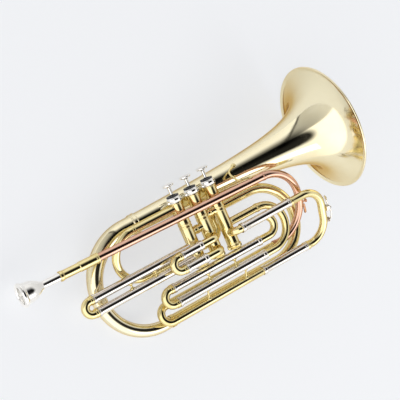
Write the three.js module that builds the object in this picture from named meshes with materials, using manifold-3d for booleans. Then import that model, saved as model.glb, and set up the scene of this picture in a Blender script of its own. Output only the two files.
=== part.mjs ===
// Marching trombone in three.js, in millimetres.
// The instrument is laid out in its own frame: +X runs with the bell's sound, +Y points to the valve
// buttons and +Z to the player's right. The origin is the centre of the bell's rim. At the end the
// whole instrument is laid on its left side, resting on the bell's rim and the bell bow.

import * as THREE from 'three';
import { mergeVertices } from 'three/addons/utils/BufferGeometryUtils.js';
import ManifoldLibrary from 'manifold-3d';

const wasm = await ManifoldLibrary();
wasm.setup();

// Clearances and facets
const seatGap = 0.3;
const cutOverrun = 3;
const edgeStep = 0.5;
const tubeSides = 8;
const roundSides = 12;
const bellSides = 28;
const bendSteps = 3;
const bowSteps = 4;
const bellBraceSteps = 10;

// Bell and bell bow
const bellRimRadius = 109.5;
const bellAxisY = 2.6;
const bellLength = 392;
const bellFlareLength = 20;
const bellFlarePower = 0.66;
const bellWall = 1;
const bellBeadRadius = 1.9;
const bellRows = 8;
const bellRowPower = 2.4;
const bellBeadSteps = 6;
const bellBeadStartShare = -0.35;
const bellBeadTurnShare = 1.35;
const bellBowCentreX = -407.5;
const bellBowRadius = 82.8;
const bellBowEndOuter = 18.4;
const bellBowWall = 1;
const bellFerruleLength = 9;

// Neck tubing between the first valve and the bell bow
const neckOuter = 16;
const neckWall = 0.9;
const neckBowCentreX = -180;
const neckTopY = -36.5;
const neckRiserX = -262;
const neckRiserBend = 20.4;
const neckEndX = -397;

// Plain tubing and slide tubing
const tubeOuter = 12.7;
const tubeWall = 0.8;
const sleeveOuter = 14;
const sleeveWall = 0.8;
const legWall = 0.7;
const ringLength = 4.5;
const ringHeight = 0.9;
const socketDepth = 6;
const socketWall = 0.6;
const socketReach = socketDepth - edgeStep - seatGap;
const elbowRadius = 11.2;

// Valves
const valvePlaneZ = 33;
const thirdValveX = -258.2;
const valveSpacing = 32.6;
const casingOuter = 20.6;
const casingWall = 1.4;
const casingTopY = 14;
const casingBottomY = -98.6;
const casingGrooveY = -31;
const casingGrooveDepth = 0.5;
const casingGrooveWidth = 1.6;
const capOuter = 24;
const capTopHeight = 5.6;
const capRoof = 2.2;
const capDome = 1.6;
const capBottomHeight = 4.4;
const capFloor = 2;
const capVentRadius = 2.6;
const pistonClearance = 0.25;
const pistonTopY = 9;
const pistonLength = 92;
const pistonRoof = 5;
const pistonPassageShares = [[0.2, 0], [0.5, Math.PI / 3], [0.8, -Math.PI / 3]];
const springPocketDepth = 27;
const springPocketRadius = 6.6;
const portBore = 11;
const valveTravel = 15;
const stemRadius = 2.9;
const stemCollarRadius = 5.2;
const buttonRadius = 9.4;
const buttonHeight = 3.6;
const buttonDish = 0.8;
const feltHeight = 1.8;
const feltRadius = 10.2;
const springWireRadius = 0.55;
const springRadius = 5.6;
const springTurns = 4;
const springTurnSteps = 8;
const springSides = 5;

// Ports along the valves
const exitPortY = 0;
const firstKnuckleY = -45;
const secondKnuckleY = -31;
const longPortY = -60;
const shortPortY = -78;

// Leadpipe, its crook and the return tube
const leadpipeZ = 50.4;
const leadpipeStartX = -509;
const leadpipeStartY = -9;
const leadpipeEndY = -17.5;
const leadCrookFarX = -114.5;
const leadCrookBendShare = 0.488;
const returnY = -133;
const returnZ = 14;
const returnStartX = -182;
const returnBowX = -414;

// Mouthpiece and receiver
const receiverLength = 50;
const receiverOuter = 15;
const receiverOverlap = 12;
const mouthpieceLength = 79;
const mouthpieceRimRadius = 19.2;
const mouthpieceCupRadius = 15.6;
const mouthpieceCupDepth = 33;
const mouthpieceThroatRadius = 3.4;
const mouthpieceNeckRadius = 5;
const mouthpieceShankRadius = 6;
const mouthpieceShankTaper = 0.4;
const mouthpieceInsertion = 13;
const mouthpieceCupShare = 0.72;
const mouthpieceRimShare = 1.7;

// Main tuning slide
const mainUpperY = -73.3;
const mainUpperZ = 54;
const mainLowerY = -160;
const mainLowerZ = 20;
const mainUpperOpenX = -148;
const mainLowerOpenX = -130;
const mainSleeveStartX = -246;
const mainLowerStartX = -223;
const mainBowFarX = -86;
const mainBowBend = 34;
const mainLegInsertion = 85;
const mainTravel = 60;

// Water key on the main bow
const keyPinDown = -2;
const keyPinOut = 7.4;
const keyPinRadius = 0.9;
const keyCupDown = 14.5;
const keyThumbLength = 27;
const keyThumbDrop = 4.4;
const keyArmWidth = 2.6;
const keyArmThickness = 1.6;
const keyCupRadius = 4.6;
const keySpringRadius = 1.9;
const keySpringTurns = 2;
const keyWireRadius = 0.3;
const keyCurveSteps = 5;
const nippleRadius = 3;
const nippleHeight = 1.8;
const corkHeight = 1.6;
const corkRadius = 3.4;
const saddleLength = 9;
const saddleWidth = 11;
const saddleFloor = 1;
const earThickness = 1.2;

// First, second and third valve slides
const firstSlideY = -65.2;
const firstSlidePitch = 20.8;
const firstSlideOpenX = -510;
const secondSlideY = -66;
const secondSlidePitch = 21.6;
const secondSlideZ = 56;
const secondSlideRootX = -320;
const secondSlideOpenX = -360;
const thirdSlideY = -110;
const thirdSlidePitch = 24;
const thirdSlideOpenX = -385;
const thirdSlideRootX = -212;
const portBowCentreX = -193;
const crookFerruleLength = 6;
const crookBowOuter = 13.2;
const firstLegInsertion = 110;
const secondLegInsertion = 24;
const thirdLegInsertion = 130;

// Exit tube of the first valve
const exitBowX = -448.5;
const exitLowerY = -78;
const exitLowerZ = 10;
const exitEndX = -300;

// Braces
const braceRadius = 1.6;
const braceFootRadius = 3.6;
const braceFootHeight = 1.2;
const firstBraceOneX = -445;
const firstBraceTwoX = -400;
const thirdBraceOneX = -320;
const thirdBraceTwoX = -268;
const returnBraceOneX = -330;
const returnBraceTwoX = -255;
const bellBraceX = -197;
const bellBraceWire = 1.5;
const bellBraceTurn = 0.62;
const bellBraceReach = 19;
const bellBraceLowShare = 1 / 3;
const bellBraceHighShare = 5 / 6;

// Finishes
const finishes = {
  lacqueredBrass: [0xd8b65c, 0.22, 1],
  roseBrass: [0xc88a62, 0.25, 1],
  nickelSilver: [0xd9d8d2, 0.18, 1],
  silverPlate: [0xe8e8e6, 0.15, 1],
  steel: [0xb9bbbd, 0.35, 1],
  felt: [0x17171a, 0.95, 0],
  cork: [0xb88a58, 0.85, 0],
};

const legOuter = sleeveOuter - 2 * sleeveWall - 2 * seatGap;
const tubeRadius = tubeOuter / 2;
const sleeveRadius = sleeveOuter / 2;
const boreRadius = tubeRadius - tubeWall;
const casingRadius = casingOuter / 2;
const valveX = [2, 1, 0].map((steps) => thirdValveX - steps * valveSpacing);

const xAxis = new THREE.Vector3(1, 0, 0);
const yAxis = new THREE.Vector3(0, 1, 0);
const zAxis = new THREE.Vector3(0, 0, 1);
const instrument = new THREE.Group();

const at = (x, y, z) => new THREE.Vector3(x, y, z);

// The corner radius of a socket whose flats clear a tube of the given radius.
const socketMouth = (radius, sides = tubeSides) => (radius + seatGap) / Math.cos(Math.PI / sides);

// Adds one named piece in its own material.
function addPiece(name, geometry, finish, parent = instrument) {
  const [color, roughness, metalness] = finishes[finish];
  const material = new THREE.MeshStandardMaterial({ color, roughness, metalness });
  const mesh = new THREE.Mesh(geometry, material);
  mesh.name = name;
  parent.add(mesh);
  return mesh;
}

function signedVolume(geometry) {
  const position = geometry.attributes.position;
  const index = geometry.index.array;
  const [a, b, c] = [new THREE.Vector3(), new THREE.Vector3(), new THREE.Vector3()];
  let sum = 0;
  for (let i = 0; i < index.length; i += 3) {
    a.fromBufferAttribute(position, index[i]);
    b.fromBufferAttribute(position, index[i + 1]);
    c.fromBufferAttribute(position, index[i + 2]);
    sum += a.dot(b.cross(c));
  }
  return sum;
}

// Merges shared vertices, drops flat triangles and turns the faces outwards.
function closedSolid(source) {
  const bare = source.clone();
  bare.deleteAttribute('normal');
  bare.deleteAttribute('uv');
  const merged = mergeVertices(bare, 1e-4);
  const old = merged.index.array;
  const kept = [];
  for (let i = 0; i < old.length; i += 3) {
    const [a, b, c] = [old[i], old[i + 1], old[i + 2]];
    if (a !== b && b !== c && c !== a) kept.push(a, b, c);
  }
  merged.setIndex(kept);
  if (signedVolume(merged) < 0) {
    for (let i = 0; i < kept.length; i += 3) [kept[i], kept[i + 1]] = [kept[i + 1], kept[i]];
    merged.setIndex(kept);
  }
  return merged;
}

function toManifold(geometry) {
  const solid = closedSolid(geometry);
  const mesh = new wasm.Mesh({
    numProp: 3,
    vertProperties: new Float32Array(solid.attributes.position.array),
    triVerts: new Uint32Array(solid.index.array),
  });
  mesh.merge();
  return new wasm.Manifold(mesh);
}

function fromManifold(manifold) {
  const { vertProperties, triVerts } = manifold.getMesh();
  const geometry = new THREE.BufferGeometry();
  geometry.setAttribute('position', new THREE.BufferAttribute(new Float32Array(vertProperties), 3));
  geometry.setIndex(new THREE.BufferAttribute(new Uint32Array(triVerts), 1));
  return geometry;
}

const cutFrom = (geometry, ...tools) => fromManifold(
  tools.reduce((solid, tool) => solid.subtract(toManifold(tool)), toManifold(geometry)));

const joinTo = (geometry, ...others) => fromManifold(
  others.reduce((solid, other) => solid.add(toManifold(other)), toManifold(geometry)));

// Revolves a closed outline of [radius, height] points about Y.
function turned(outline, sides = roundSides) {
  const points = outline.map(([radius, height]) => new THREE.Vector2(radius, height));
  return closedSolid(new THREE.LatheGeometry(points, sides));
}

// Turns a piece made along Y so that it lies along the given direction from a point.
function laidAlong(geometry, direction, origin) {
  const turn = new THREE.Quaternion().setFromUnitVectors(yAxis, direction.clone().normalize());
  return geometry.applyQuaternion(turn).translate(origin.x, origin.y, origin.z);
}

// A route of straight runs joined by round bends, as points with their tangents.
function bentRoute(corners, bend, steps = bendSteps) {
  const last = corners.length - 1;
  const run = (i) => corners[i + 1].clone().sub(corners[i]).normalize();
  const route = [{ point: corners[0].clone(), tangent: run(0) }];
  for (let i = 1; i < last; i += 1) {
    const [entry, exit] = [run(i - 1), run(i)];
    const turn = entry.angleTo(exit);
    const setback = bend * Math.tan(turn / 2);
    const axis = entry.clone().cross(exit).normalize();
    const start = corners[i].clone().addScaledVector(entry, -setback);
    const centre = start.clone().addScaledVector(axis.clone().cross(entry), bend);
    for (let k = 0; k <= steps; k += 1) {
      const angle = (turn * k) / steps;
      const point = start.clone().sub(centre).applyAxisAngle(axis, angle).add(centre);
      route.push({ point, tangent: entry.clone().applyAxisAngle(axis, angle) });
    }
  }
  route.push({ point: corners[last].clone(), tangent: run(last - 1) });
  return route.filter((stop, i) => i === 0 || stop.point.distanceTo(route[i - 1].point) > edgeStep / 10);
}

function withDistances(route) {
  let distance = 0;
  return route.map((stop, i) => {
    if (i > 0) distance += stop.point.distanceTo(route[i - 1].point);
    return { ...stop, distance };
  });
}

function routeLength(route) {
  return withDistances(route).at(-1).distance;
}

function stopAt(stops, distance) {
  const next = Math.max(1, stops.findIndex((stop) => stop.distance >= distance - edgeStep / 100));
  const [a, b] = [stops[next - 1], stops[next]];
  const share = (distance - a.distance) / (b.distance - a.distance);
  return {
    point: a.point.clone().lerp(b.point, share),
    tangent: a.tangent.clone().lerp(b.tangent, share).normalize(),
    distance,
  };
}

function profileAt(profile, distance, key) {
  const next = profile.findIndex((mark) => mark.at >= distance - edgeStep / 100);
  if (next <= 0) return profile[next === 0 ? 0 : profile.length - 1][key];
  const [a, b] = [profile[next - 1], profile[next]];
  return a[key] + ((b[key] - a[key]) * (distance - a.at)) / (b.at - a.at);
}

// Sweeps a hollow round section along a route. The profile lists outer and bore radii by distance.
function pipe(route, profile, up = zAxis, sides = tubeSides) {
  const marked = withDistances(route);
  const total = marked.at(-1).distance;
  const own = marked.map((stop) => stop.distance);
  const extra = profile.map((mark) => Math.min(mark.at, total));
  const places = [...own, ...extra].sort((a, b) => a - b)
    .filter((place, i, all) => i === 0 || place - all[i - 1] > edgeStep / 5);
  places[places.length - 1] = total;
  const positions = [];
  const indices = [];
  let normal = up.clone();
  for (const place of places) {
    const { point, tangent } = stopAt(marked, place);
    normal.addScaledVector(tangent, -normal.dot(tangent)).normalize();
    const side = tangent.clone().cross(normal);
    for (const key of ['outer', 'bore']) {
      const radius = profileAt(profile, place, key);
      for (let k = 0; k < sides; k += 1) {
        const angle = (2 * Math.PI * k) / sides;
        positions.push(...point.clone()
          .addScaledVector(normal, radius * Math.cos(angle))
          .addScaledVector(side, radius * Math.sin(angle)).toArray());
      }
    }
  }
  const vertex = (ring, wall, k) => (ring * 2 + wall) * sides + (k % sides);
  const quad = (a, b, c, d) => indices.push(a, b, c, a, c, d);
  const ends = places.length - 1;
  for (let k = 0; k < sides; k += 1) {
    for (let ring = 0; ring < ends; ring += 1) {
      quad(vertex(ring, 0, k), vertex(ring, 0, k + 1), vertex(ring + 1, 0, k + 1), vertex(ring + 1, 0, k));
      quad(vertex(ring, 1, k + 1), vertex(ring, 1, k), vertex(ring + 1, 1, k), vertex(ring + 1, 1, k + 1));
    }
    quad(vertex(0, 1, k), vertex(0, 1, k + 1), vertex(0, 0, k + 1), vertex(0, 0, k));
    quad(vertex(ends, 0, k), vertex(ends, 0, k + 1), vertex(ends, 1, k + 1), vertex(ends, 1, k));
  }
  const geometry = new THREE.BufferGeometry();
  geometry.setAttribute('position', new THREE.Float32BufferAttribute(positions, 3));
  geometry.setIndex(indices);
  return closedSolid(geometry);
}

// Profile of one constant tube, with raised rings given as [start, length] along it.
function ringedProfile(length, outer, wall, rings = []) {
  const [radius, bore] = [outer / 2, outer / 2 - wall];
  const marks = [{ at: 0, outer: radius, bore }];
  for (const [start, span] of rings) {
    const high = radius + ringHeight;
    const [from, to] = [Math.max(start, 0), Math.min(start + span, length)];
    if (from > 0) marks.push({ at: from, outer: radius, bore });
    else marks.length = 0;
    marks.push({ at: from === 0 ? 0 : from + edgeStep, outer: high, bore });
    marks.push({ at: to === length ? length : to - edgeStep, outer: high, bore });
    if (to < length) marks.push({ at: to, outer: radius, bore });
  }
  if (marks.at(-1).at < length) marks.push({ at: length, outer: radius, bore });
  return marks;
}

// Adds a socket for the next tube at the end of a profile.
function withEndSocket(profile, length, nextOuter) {
  const mouth = socketMouth(nextOuter / 2);
  const { outer, bore } = profile.at(-1);
  const wide = Math.max(outer, mouth) + socketWall;
  const start = length - socketDepth;
  return [
    ...profile.slice(0, -1),
    { at: start - edgeStep, outer, bore },
    { at: start, outer: wide, bore },
    { at: start + edgeStep, outer: wide, bore: mouth },
    { at: length, outer: wide, bore: mouth },
  ];
}

function plainPipe(corners, bend, outer, wall, rings, socketOuter, up) {
  const route = bentRoute(corners, bend);
  const length = routeLength(route);
  const profile = ringedProfile(length, outer, wall, rings);
  return pipe(route, socketOuter ? withEndSocket(profile, length, socketOuter) : profile, up);
}

// The room that a valve casing needs in a tube that butts against it.
function casingRoom(x) {
  const height = casingTopY - casingBottomY + cutOverrun;
  const room = new THREE.CylinderGeometry(casingRadius + seatGap, casingRadius + seatGap, height, roundSides);
  return room.translate(x, (casingTopY + casingBottomY) / 2, valvePlaneZ);
}

// A strut at one x between two tubes along X: it sinks half into the wall of the first one.
function strutAt(x, [firstY, firstZ, firstRadius], [secondY, secondZ, secondRadius]) {
  const [from, to] = [at(x, firstY, firstZ), at(x, secondY, secondZ)];
  const direction = to.clone().sub(from).normalize();
  return strut(from.addScaledVector(direction, firstRadius - tubeWall),
    to.addScaledVector(direction, -secondRadius - seatGap));
}

// A strut with a foot at each end, between two points on neighbouring tubes.
function strut(from, to) {
  const height = from.distanceTo(to);
  const geometry = turned([
    [0, 0], [braceFootRadius, 0], [braceFootRadius, braceFootHeight / 2], [braceRadius, braceFootHeight],
    [braceRadius, height - braceFootHeight], [braceFootRadius, height - braceFootHeight / 2],
    [braceFootRadius, height], [0, height],
  ], tubeSides);
  return laidAlong(geometry, to.clone().sub(from), from);
}

// Bell

const flareRadius = (behind) => bellRimRadius
  * (bellFlareLength / (bellFlareLength + behind)) ** bellFlarePower;

function bell() {
  const outside = [];
  const inside = [];
  for (let i = 0; i <= bellRows; i += 1) {
    const behind = bellBeadRadius + (bellLength - bellBeadRadius) * (i / bellRows) ** bellRowPower;
    const radius = flareRadius(behind);
    const slope = (-bellFlarePower * radius) / (bellFlareLength + behind);
    const stretch = Math.hypot(1, slope);
    outside.push([radius, -behind]);
    inside.push([radius - bellWall / stretch, -behind - (bellWall * slope) / stretch]);
  }
  const bead = [];
  const beadCentre = bellRimRadius - bellBeadRadius;
  for (let i = 0; i <= bellBeadSteps; i += 1) {
    const angle = (bellBeadStartShare + (i / bellBeadSteps) * bellBeadTurnShare) * Math.PI;
    const [across, along] = [bellBeadRadius * Math.cos(angle), bellBeadRadius * Math.sin(angle)];
    bead.push([beadCentre + across, along - bellBeadRadius]);
  }
  const outline = [...outside.slice(1).reverse(), ...bead, ...inside.slice(1)];
  outline.push(outline[0]);
  const geometry = turned(outline, bellSides);
  addPiece('bell', geometry.rotateZ(-Math.PI / 2).translate(0, bellAxisY, 0), 'lacqueredBrass');
}

const neckLowY = bellAxisY - 2 * bellBowRadius;

function bellBow() {
  const startX = -bellLength + bellFerruleLength;
  const far = bellBowCentreX - bellBowRadius;
  const corners = [at(startX, bellAxisY, 0), at(far, bellAxisY, 0), at(far, neckLowY, 0),
    at(neckEndX - seatGap, neckLowY, 0)];
  const route = bentRoute(corners, bellBowRadius, bowSteps);
  const length = routeLength(route);
  const tail = flareRadius(bellLength);
  const mouth = socketMouth(tail, roundSides);
  const ferrule = mouth + bellBowWall;
  const inner = tail - bellWall;
  const [end, start] = [bellBowEndOuter / 2, tail];
  const profile = [
    { at: 0, outer: ferrule, bore: mouth },
    { at: bellFerruleLength, outer: ferrule, bore: mouth },
    { at: bellFerruleLength + edgeStep, outer: start, bore: inner },
    { at: length, outer: end, bore: end - bellBowWall },
  ];
  addPiece('bell_bow', pipe(route, profile, zAxis, roundSides), 'lacqueredBrass');
}

// Neck

function neckTube() {
  const bend = (neckTopY - neckLowY) / 2;
  const far = neckBowCentreX + bend;
  const riser = [at(exitEndX, exitLowerY, exitLowerZ), at(neckRiserX, exitLowerY, exitLowerZ),
    at(neckRiserX, neckTopY, 0), at(neckBowCentreX, neckTopY, 0)];
  const route = [
    ...bentRoute(riser, neckRiserBend),
    ...bentRoute([at(neckBowCentreX, neckTopY, 0), at(far, neckTopY, 0),
      at(far, neckLowY, 0), at(neckEndX, neckLowY, 0)], bend, bowSteps).slice(1),
  ];
  const length = routeLength(route);
  const widened = bellBowEndOuter / 2;
  const profile = withEndSocket([
    { at: 0, outer: tubeRadius, bore: boreRadius },
    { at: length / 4, outer: neckOuter / 2, bore: neckOuter / 2 - neckWall },
    { at: length, outer: widened, bore: widened - neckWall },
  ], length, bellBowEndOuter);
  addPiece('neck_tube', pipe(route, profile), 'lacqueredBrass');
}

function exitTube() {
  const bend = at(0, exitPortY, valvePlaneZ).distanceTo(at(0, exitLowerY, exitLowerZ)) / 2;
  const corners = [at(valveX[0], exitPortY, valvePlaneZ), at(exitBowX, exitPortY, valvePlaneZ),
    at(exitBowX, exitLowerY, exitLowerZ), at(exitEndX + socketReach, exitLowerY, exitLowerZ)];
  const route = bentRoute(corners, bend, bowSteps);
  const length = routeLength(route);
  const straight = Math.abs(exitBowX - valveX[0]) - bend;
  const rings = [[casingRadius, ringLength], [straight - ringLength, ringLength]];
  const profile = withEndSocket(ringedProfile(length, tubeOuter, tubeWall, rings), length, tubeOuter);
  addPiece('exit_tube', cutFrom(pipe(route, profile), casingRoom(valveX[0])), 'lacqueredBrass');
}

// Leadpipe side

const leadDirection = at(leadCrookFarX - leadpipeStartX, leadpipeEndY - leadpipeStartY, 0).normalize();
const leadAt = (alongFromStart) => at(leadpipeStartX, leadpipeStartY, leadpipeZ)
  .addScaledVector(leadDirection, alongFromStart);

const leadCrookUpper = at(leadCrookFarX, leadpipeEndY, leadpipeZ);
const leadCrookLower = at(leadCrookFarX, returnY, returnZ);
const leadCrookBend = leadCrookUpper.distanceTo(leadCrookLower) * leadCrookBendShare;
const leadpipeLength = leadCrookFarX - leadpipeStartX - leadCrookBend;

function leadpipe() {
  const ends = [leadAt(0), leadAt(leadpipeLength)];
  addPiece('leadpipe', plainPipe(ends, 0, tubeOuter, tubeWall, [], tubeOuter), 'roseBrass');
}

// The front crook carries the air from the leadpipe down to the return tube.
function leadpipeCrook() {
  const corners = [leadAt(leadpipeLength - socketReach), leadCrookUpper, leadCrookLower,
    at(returnStartX, returnY, returnZ)];
  const route = bentRoute(corners, leadCrookBend, bowSteps);
  const length = routeLength(route);
  const profile = withEndSocket(ringedProfile(length, tubeOuter, tubeWall), length, tubeOuter);
  addPiece('leadpipe_crook', pipe(route, profile), 'roseBrass');
}

function returnTube() {
  const bend = at(0, returnY, returnZ).distanceTo(at(0, mainLowerY, mainLowerZ)) / 2;
  const corners = [at(returnStartX + socketReach, returnY, returnZ), at(returnBowX, returnY, returnZ),
    at(returnBowX, mainLowerY, mainLowerZ),
    at(mainLowerStartX + socketDepth - seatGap, mainLowerY, mainLowerZ)];
  const third = [thirdSlideY - thirdSlidePitch, valvePlaneZ, sleeveRadius];
  const struts = [returnBraceOneX, returnBraceTwoX].map(
    (x) => strutAt(x, [mainLowerY, mainLowerZ, tubeRadius], third));
  addPiece('return_tube', joinTo(plainPipe(corners, bend, tubeOuter, tubeWall), ...struts), 'lacqueredBrass');
}

function receiver() {
  const [waist, high] = [receiverOuter / 2 - ringHeight / 2, receiverOuter / 2 + ringHeight / 2];
  const bore = socketMouth(tubeRadius);
  const wide = bore + socketWall;
  const open = receiverOverlap - receiverLength;
  const depth = open + mouthpieceInsertion + 2 * seatGap;
  const tip = mouthpieceShankRadius + seatGap;
  const mouth = tip + mouthpieceShankTaper;
  const geometry = turned([
    [bore, receiverOverlap], [wide + ringHeight / 2, receiverOverlap],
    [wide + ringHeight / 2, receiverOverlap - ringLength], [wide, receiverOverlap - ringLength - edgeStep],
    [wide, -ringLength], [waist, -ringLength - 2 * edgeStep], [waist, open + ringLength + edgeStep],
    [high, open + ringLength], [high, open], [mouth, open], [tip, depth], [boreRadius, depth + edgeStep],
    [boreRadius, -seatGap - edgeStep], [bore, -seatGap], [bore, receiverOverlap],
  ]);
  addPiece('mouthpiece_receiver', laidAlong(geometry, leadDirection, leadAt(0)), 'lacqueredBrass');
}

function mouthpiece() {
  const tip = receiverOverlap - receiverLength + mouthpieceInsertion;
  const rim = tip - mouthpieceLength;
  const cup = rim + mouthpieceCupDepth;
  const [rimR, cupR, throat] = [mouthpieceRimRadius, mouthpieceCupRadius, mouthpieceThroatRadius];
  const shank = mouthpieceShankRadius;
  const neck = mouthpieceNeckRadius;
  const rimRound = rimR - cupR + ringHeight;
  const geometry = turned([
    [throat, cup], [neck - ringHeight, tip], [shank, tip],
    [shank + mouthpieceShankTaper, tip - mouthpieceInsertion],
    [shank + mouthpieceShankTaper, cup + 3 * rimRound],
    [neck + ringHeight, cup + rimRound], [neck + ringHeight * 2, cup],
    [cupR * mouthpieceCupShare, cup - rimRound], [cupR, cup - mouthpieceCupDepth / 3],
    [cupR + ringHeight, rim + 2 * rimRound], [cupR + ringHeight, rim + rimRound * mouthpieceRimShare],
    [rimR, rim + rimRound], [rimR, rim + edgeStep],
    [rimR - edgeStep, rim], [cupR - ringHeight, rim], [cupR - 2 * ringHeight, rim + rimRound / 2],
    [cupR - 3 * ringHeight, rim + mouthpieceCupDepth / 2], [cupR / 2, cup - rimRound], [throat, cup],
  ]);
  addPiece('mouthpiece', laidAlong(geometry, leadDirection, leadAt(0)), 'silverPlate');
}

// A bent rod that bulges towards the player, from the bell's flank to the leadpipe.
function bellBrace() {
  const bellReach = flareRadius(-bellBraceX) + seatGap + bellBraceWire;
  const [aside, above] = [bellReach * Math.sin(bellBraceTurn), bellReach * Math.cos(bellBraceTurn)];
  const foot = at(bellBraceX, bellAxisY + aside, above);
  const head = leadAt(bellBraceX - bellBraceWire - leadpipeStartX);
  head.y += tubeRadius + seatGap + bellBraceWire;
  const low = foot.clone().lerp(head, bellBraceLowShare);
  const high = foot.clone().lerp(head, bellBraceHighShare);
  low.x -= bellBraceReach;
  high.x -= bellBraceReach;
  low.y += bellBraceWire;
  const curve = new THREE.CatmullRomCurve3([foot, low, high, head]);
  const rod = wire(curve.getPoints(bellBraceSteps), bellBraceWire, tubeSides - 2);
  addPiece('bell_brace', rod, 'lacqueredBrass');
}

// Main tuning slide

const mainTilt = at(0, mainLowerY - mainUpperY, mainLowerZ - mainUpperZ).normalize();
const mainUp = xAxis.clone().cross(mainTilt).negate();

// A straight outer slide tube: a socket for the plain tube at its root, a ring at its open end.
function sleeve(rootX, openX, y, z, up = zAxis) {
  const length = Math.abs(openX - rootX);
  const route = bentRoute([at(rootX, y, z), at(openX, y, z)], 0);
  const [outer, high] = [sleeveRadius, sleeveRadius + ringHeight];
  const [bore, mouth] = [sleeveRadius - sleeveWall, socketMouth(tubeRadius)];
  return pipe(route, [
    { at: 0, outer: high, bore: mouth },
    { at: socketDepth, outer: high, bore: mouth },
    { at: socketDepth + edgeStep, outer: high, bore },
    { at: socketDepth + 2 * edgeStep, outer, bore },
    { at: length - ringLength, outer, bore },
    { at: length - ringLength + edgeStep, outer: high, bore },
    { at: length, outer: high, bore },
  ], up);
}

// A tube from a valve's front that turns to run along X.
function frontElbow(valve, y, z, endX) {
  const corners = [at(valveX[valve], y, valvePlaneZ), at(valveX[valve], y, z), at(endX, y, z)];
  const solid = plainPipe(corners, elbowRadius, tubeOuter, tubeWall, [], undefined, yAxis);
  return cutFrom(solid, casingRoom(valveX[valve]));
}

function mainSlideOuters() {
  addPiece('main_slide_upper_outer', sleeve(mainSleeveStartX, mainUpperOpenX, mainUpperY, mainUpperZ, mainUp),
    'nickelSilver');
  addPiece('main_slide_lower_outer', sleeve(mainLowerStartX, mainLowerOpenX, mainLowerY, mainLowerZ, mainUp),
    'nickelSilver');
  addPiece('main_slide_elbow', frontElbow(2, mainUpperY, mainUpperZ, mainSleeveStartX + socketDepth - seatGap),
    'lacqueredBrass');
}

function mainInnerLeg(name, openX, y, z) {
  const corners = [at(openX - mainLegInsertion, y, z), at(openX + ringLength, y, z)];
  addPiece(name, plainPipe(corners, 0, legOuter, legWall, [], undefined, mainUp), 'nickelSilver');
}

function mainBow() {
  const corners = [at(mainUpperOpenX + seatGap, mainUpperY, mainUpperZ),
    at(mainBowFarX, mainUpperY, mainUpperZ), at(mainBowFarX, mainLowerY, mainLowerZ),
    at(mainLowerOpenX + seatGap, mainLowerY, mainLowerZ)];
  const route = bentRoute(corners, mainBowBend);
  const length = routeLength(route);
  const radius = crookBowOuter / 2;
  const [mouth, bore] = [socketMouth(legOuter / 2), radius - tubeWall];
  const seat = ringLength + seatGap;
  const ferrule = radius + ringHeight;
  const half = [
    { at: 0, outer: ferrule, bore: mouth }, { at: seat, outer: ferrule, bore: mouth },
    { at: seat + edgeStep, outer: radius, bore },
  ];
  const mirrored = half.map((mark) => ({ ...mark, at: length - mark.at })).reverse();
  addPiece('main_slide_bow', pipe(route, [...half, ...mirrored], mainUp), 'lacqueredBrass');
}

function mainSlide() {
  mainSlideOuters();
  mainInnerLeg('main_slide_upper_leg', mainUpperOpenX, mainUpperY, mainUpperZ);
  mainInnerLeg('main_slide_lower_leg', mainLowerOpenX, mainLowerY, mainLowerZ);
  mainBow();
}

// A place on the straight side of the main bow: down its run, outwards from its wall and across.
function keyPlace(down, out, across = 0) {
  const middle = at(mainBowFarX, (mainUpperY + mainLowerY) / 2, (mainUpperZ + mainLowerZ) / 2);
  return middle.addScaledVector(mainTilt, down).addScaledVector(xAxis, crookBowOuter / 2 + out)
    .addScaledVector(mainUp, across);
}

// Stands a flat outline, drawn in [down, out] about the main bow, up on that bow.
function keyPlate(shape, width) {
  const options = { depth: width, bevelEnabled: false, curveSegments: keyCurveSteps };
  const plate = new THREE.ExtrudeGeometry(shape, options);
  plate.translate(0, 0, -width / 2);
  const frame = new THREE.Matrix4().makeBasis(mainTilt, xAxis, mainTilt.clone().cross(xAxis));
  frame.setPosition(keyPlace(0, 0));
  return plate.applyMatrix4(frame);
}

function keyRod(radius, width, down, out, sides = tubeSides) {
  const rod = new THREE.CylinderGeometry(radius, radius, width, sides);
  return laidAlong(rod, mainUp, keyPlace(down, out));
}

function waterKeySaddle() {
  const [half, top] = [saddleLength / 2, keyPinOut + 2 * keyPinRadius];
  const outline = new THREE.Shape([
    new THREE.Vector2(keyPinDown - half, seatGap), new THREE.Vector2(keyPinDown + half, seatGap),
    new THREE.Vector2(keyPinDown + 2 * keyPinRadius, top),
    new THREE.Vector2(keyPinDown - 2 * keyPinRadius, top),
  ]);
  const block = keyPlate(outline, saddleWidth);
  const slot = new THREE.Shape([
    new THREE.Vector2(keyPinDown - saddleLength, seatGap + saddleFloor),
    new THREE.Vector2(keyPinDown + saddleLength, seatGap + saddleFloor),
    new THREE.Vector2(keyPinDown + saddleLength, top + cutOverrun),
    new THREE.Vector2(keyPinDown - saddleLength, top + cutOverrun),
  ]);
  const bore = keyRod(keyPinRadius + seatGap, saddleWidth + cutOverrun, keyPinDown, keyPinOut);
  addPiece('water_key_saddle', cutFrom(block, keyPlate(slot, saddleWidth - 2 * earThickness), bore),
    'nickelSilver');
  addPiece('water_key_pin', keyRod(keyPinRadius, saddleWidth + keyPinRadius, keyPinDown, keyPinOut), 'steel');
}

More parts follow.
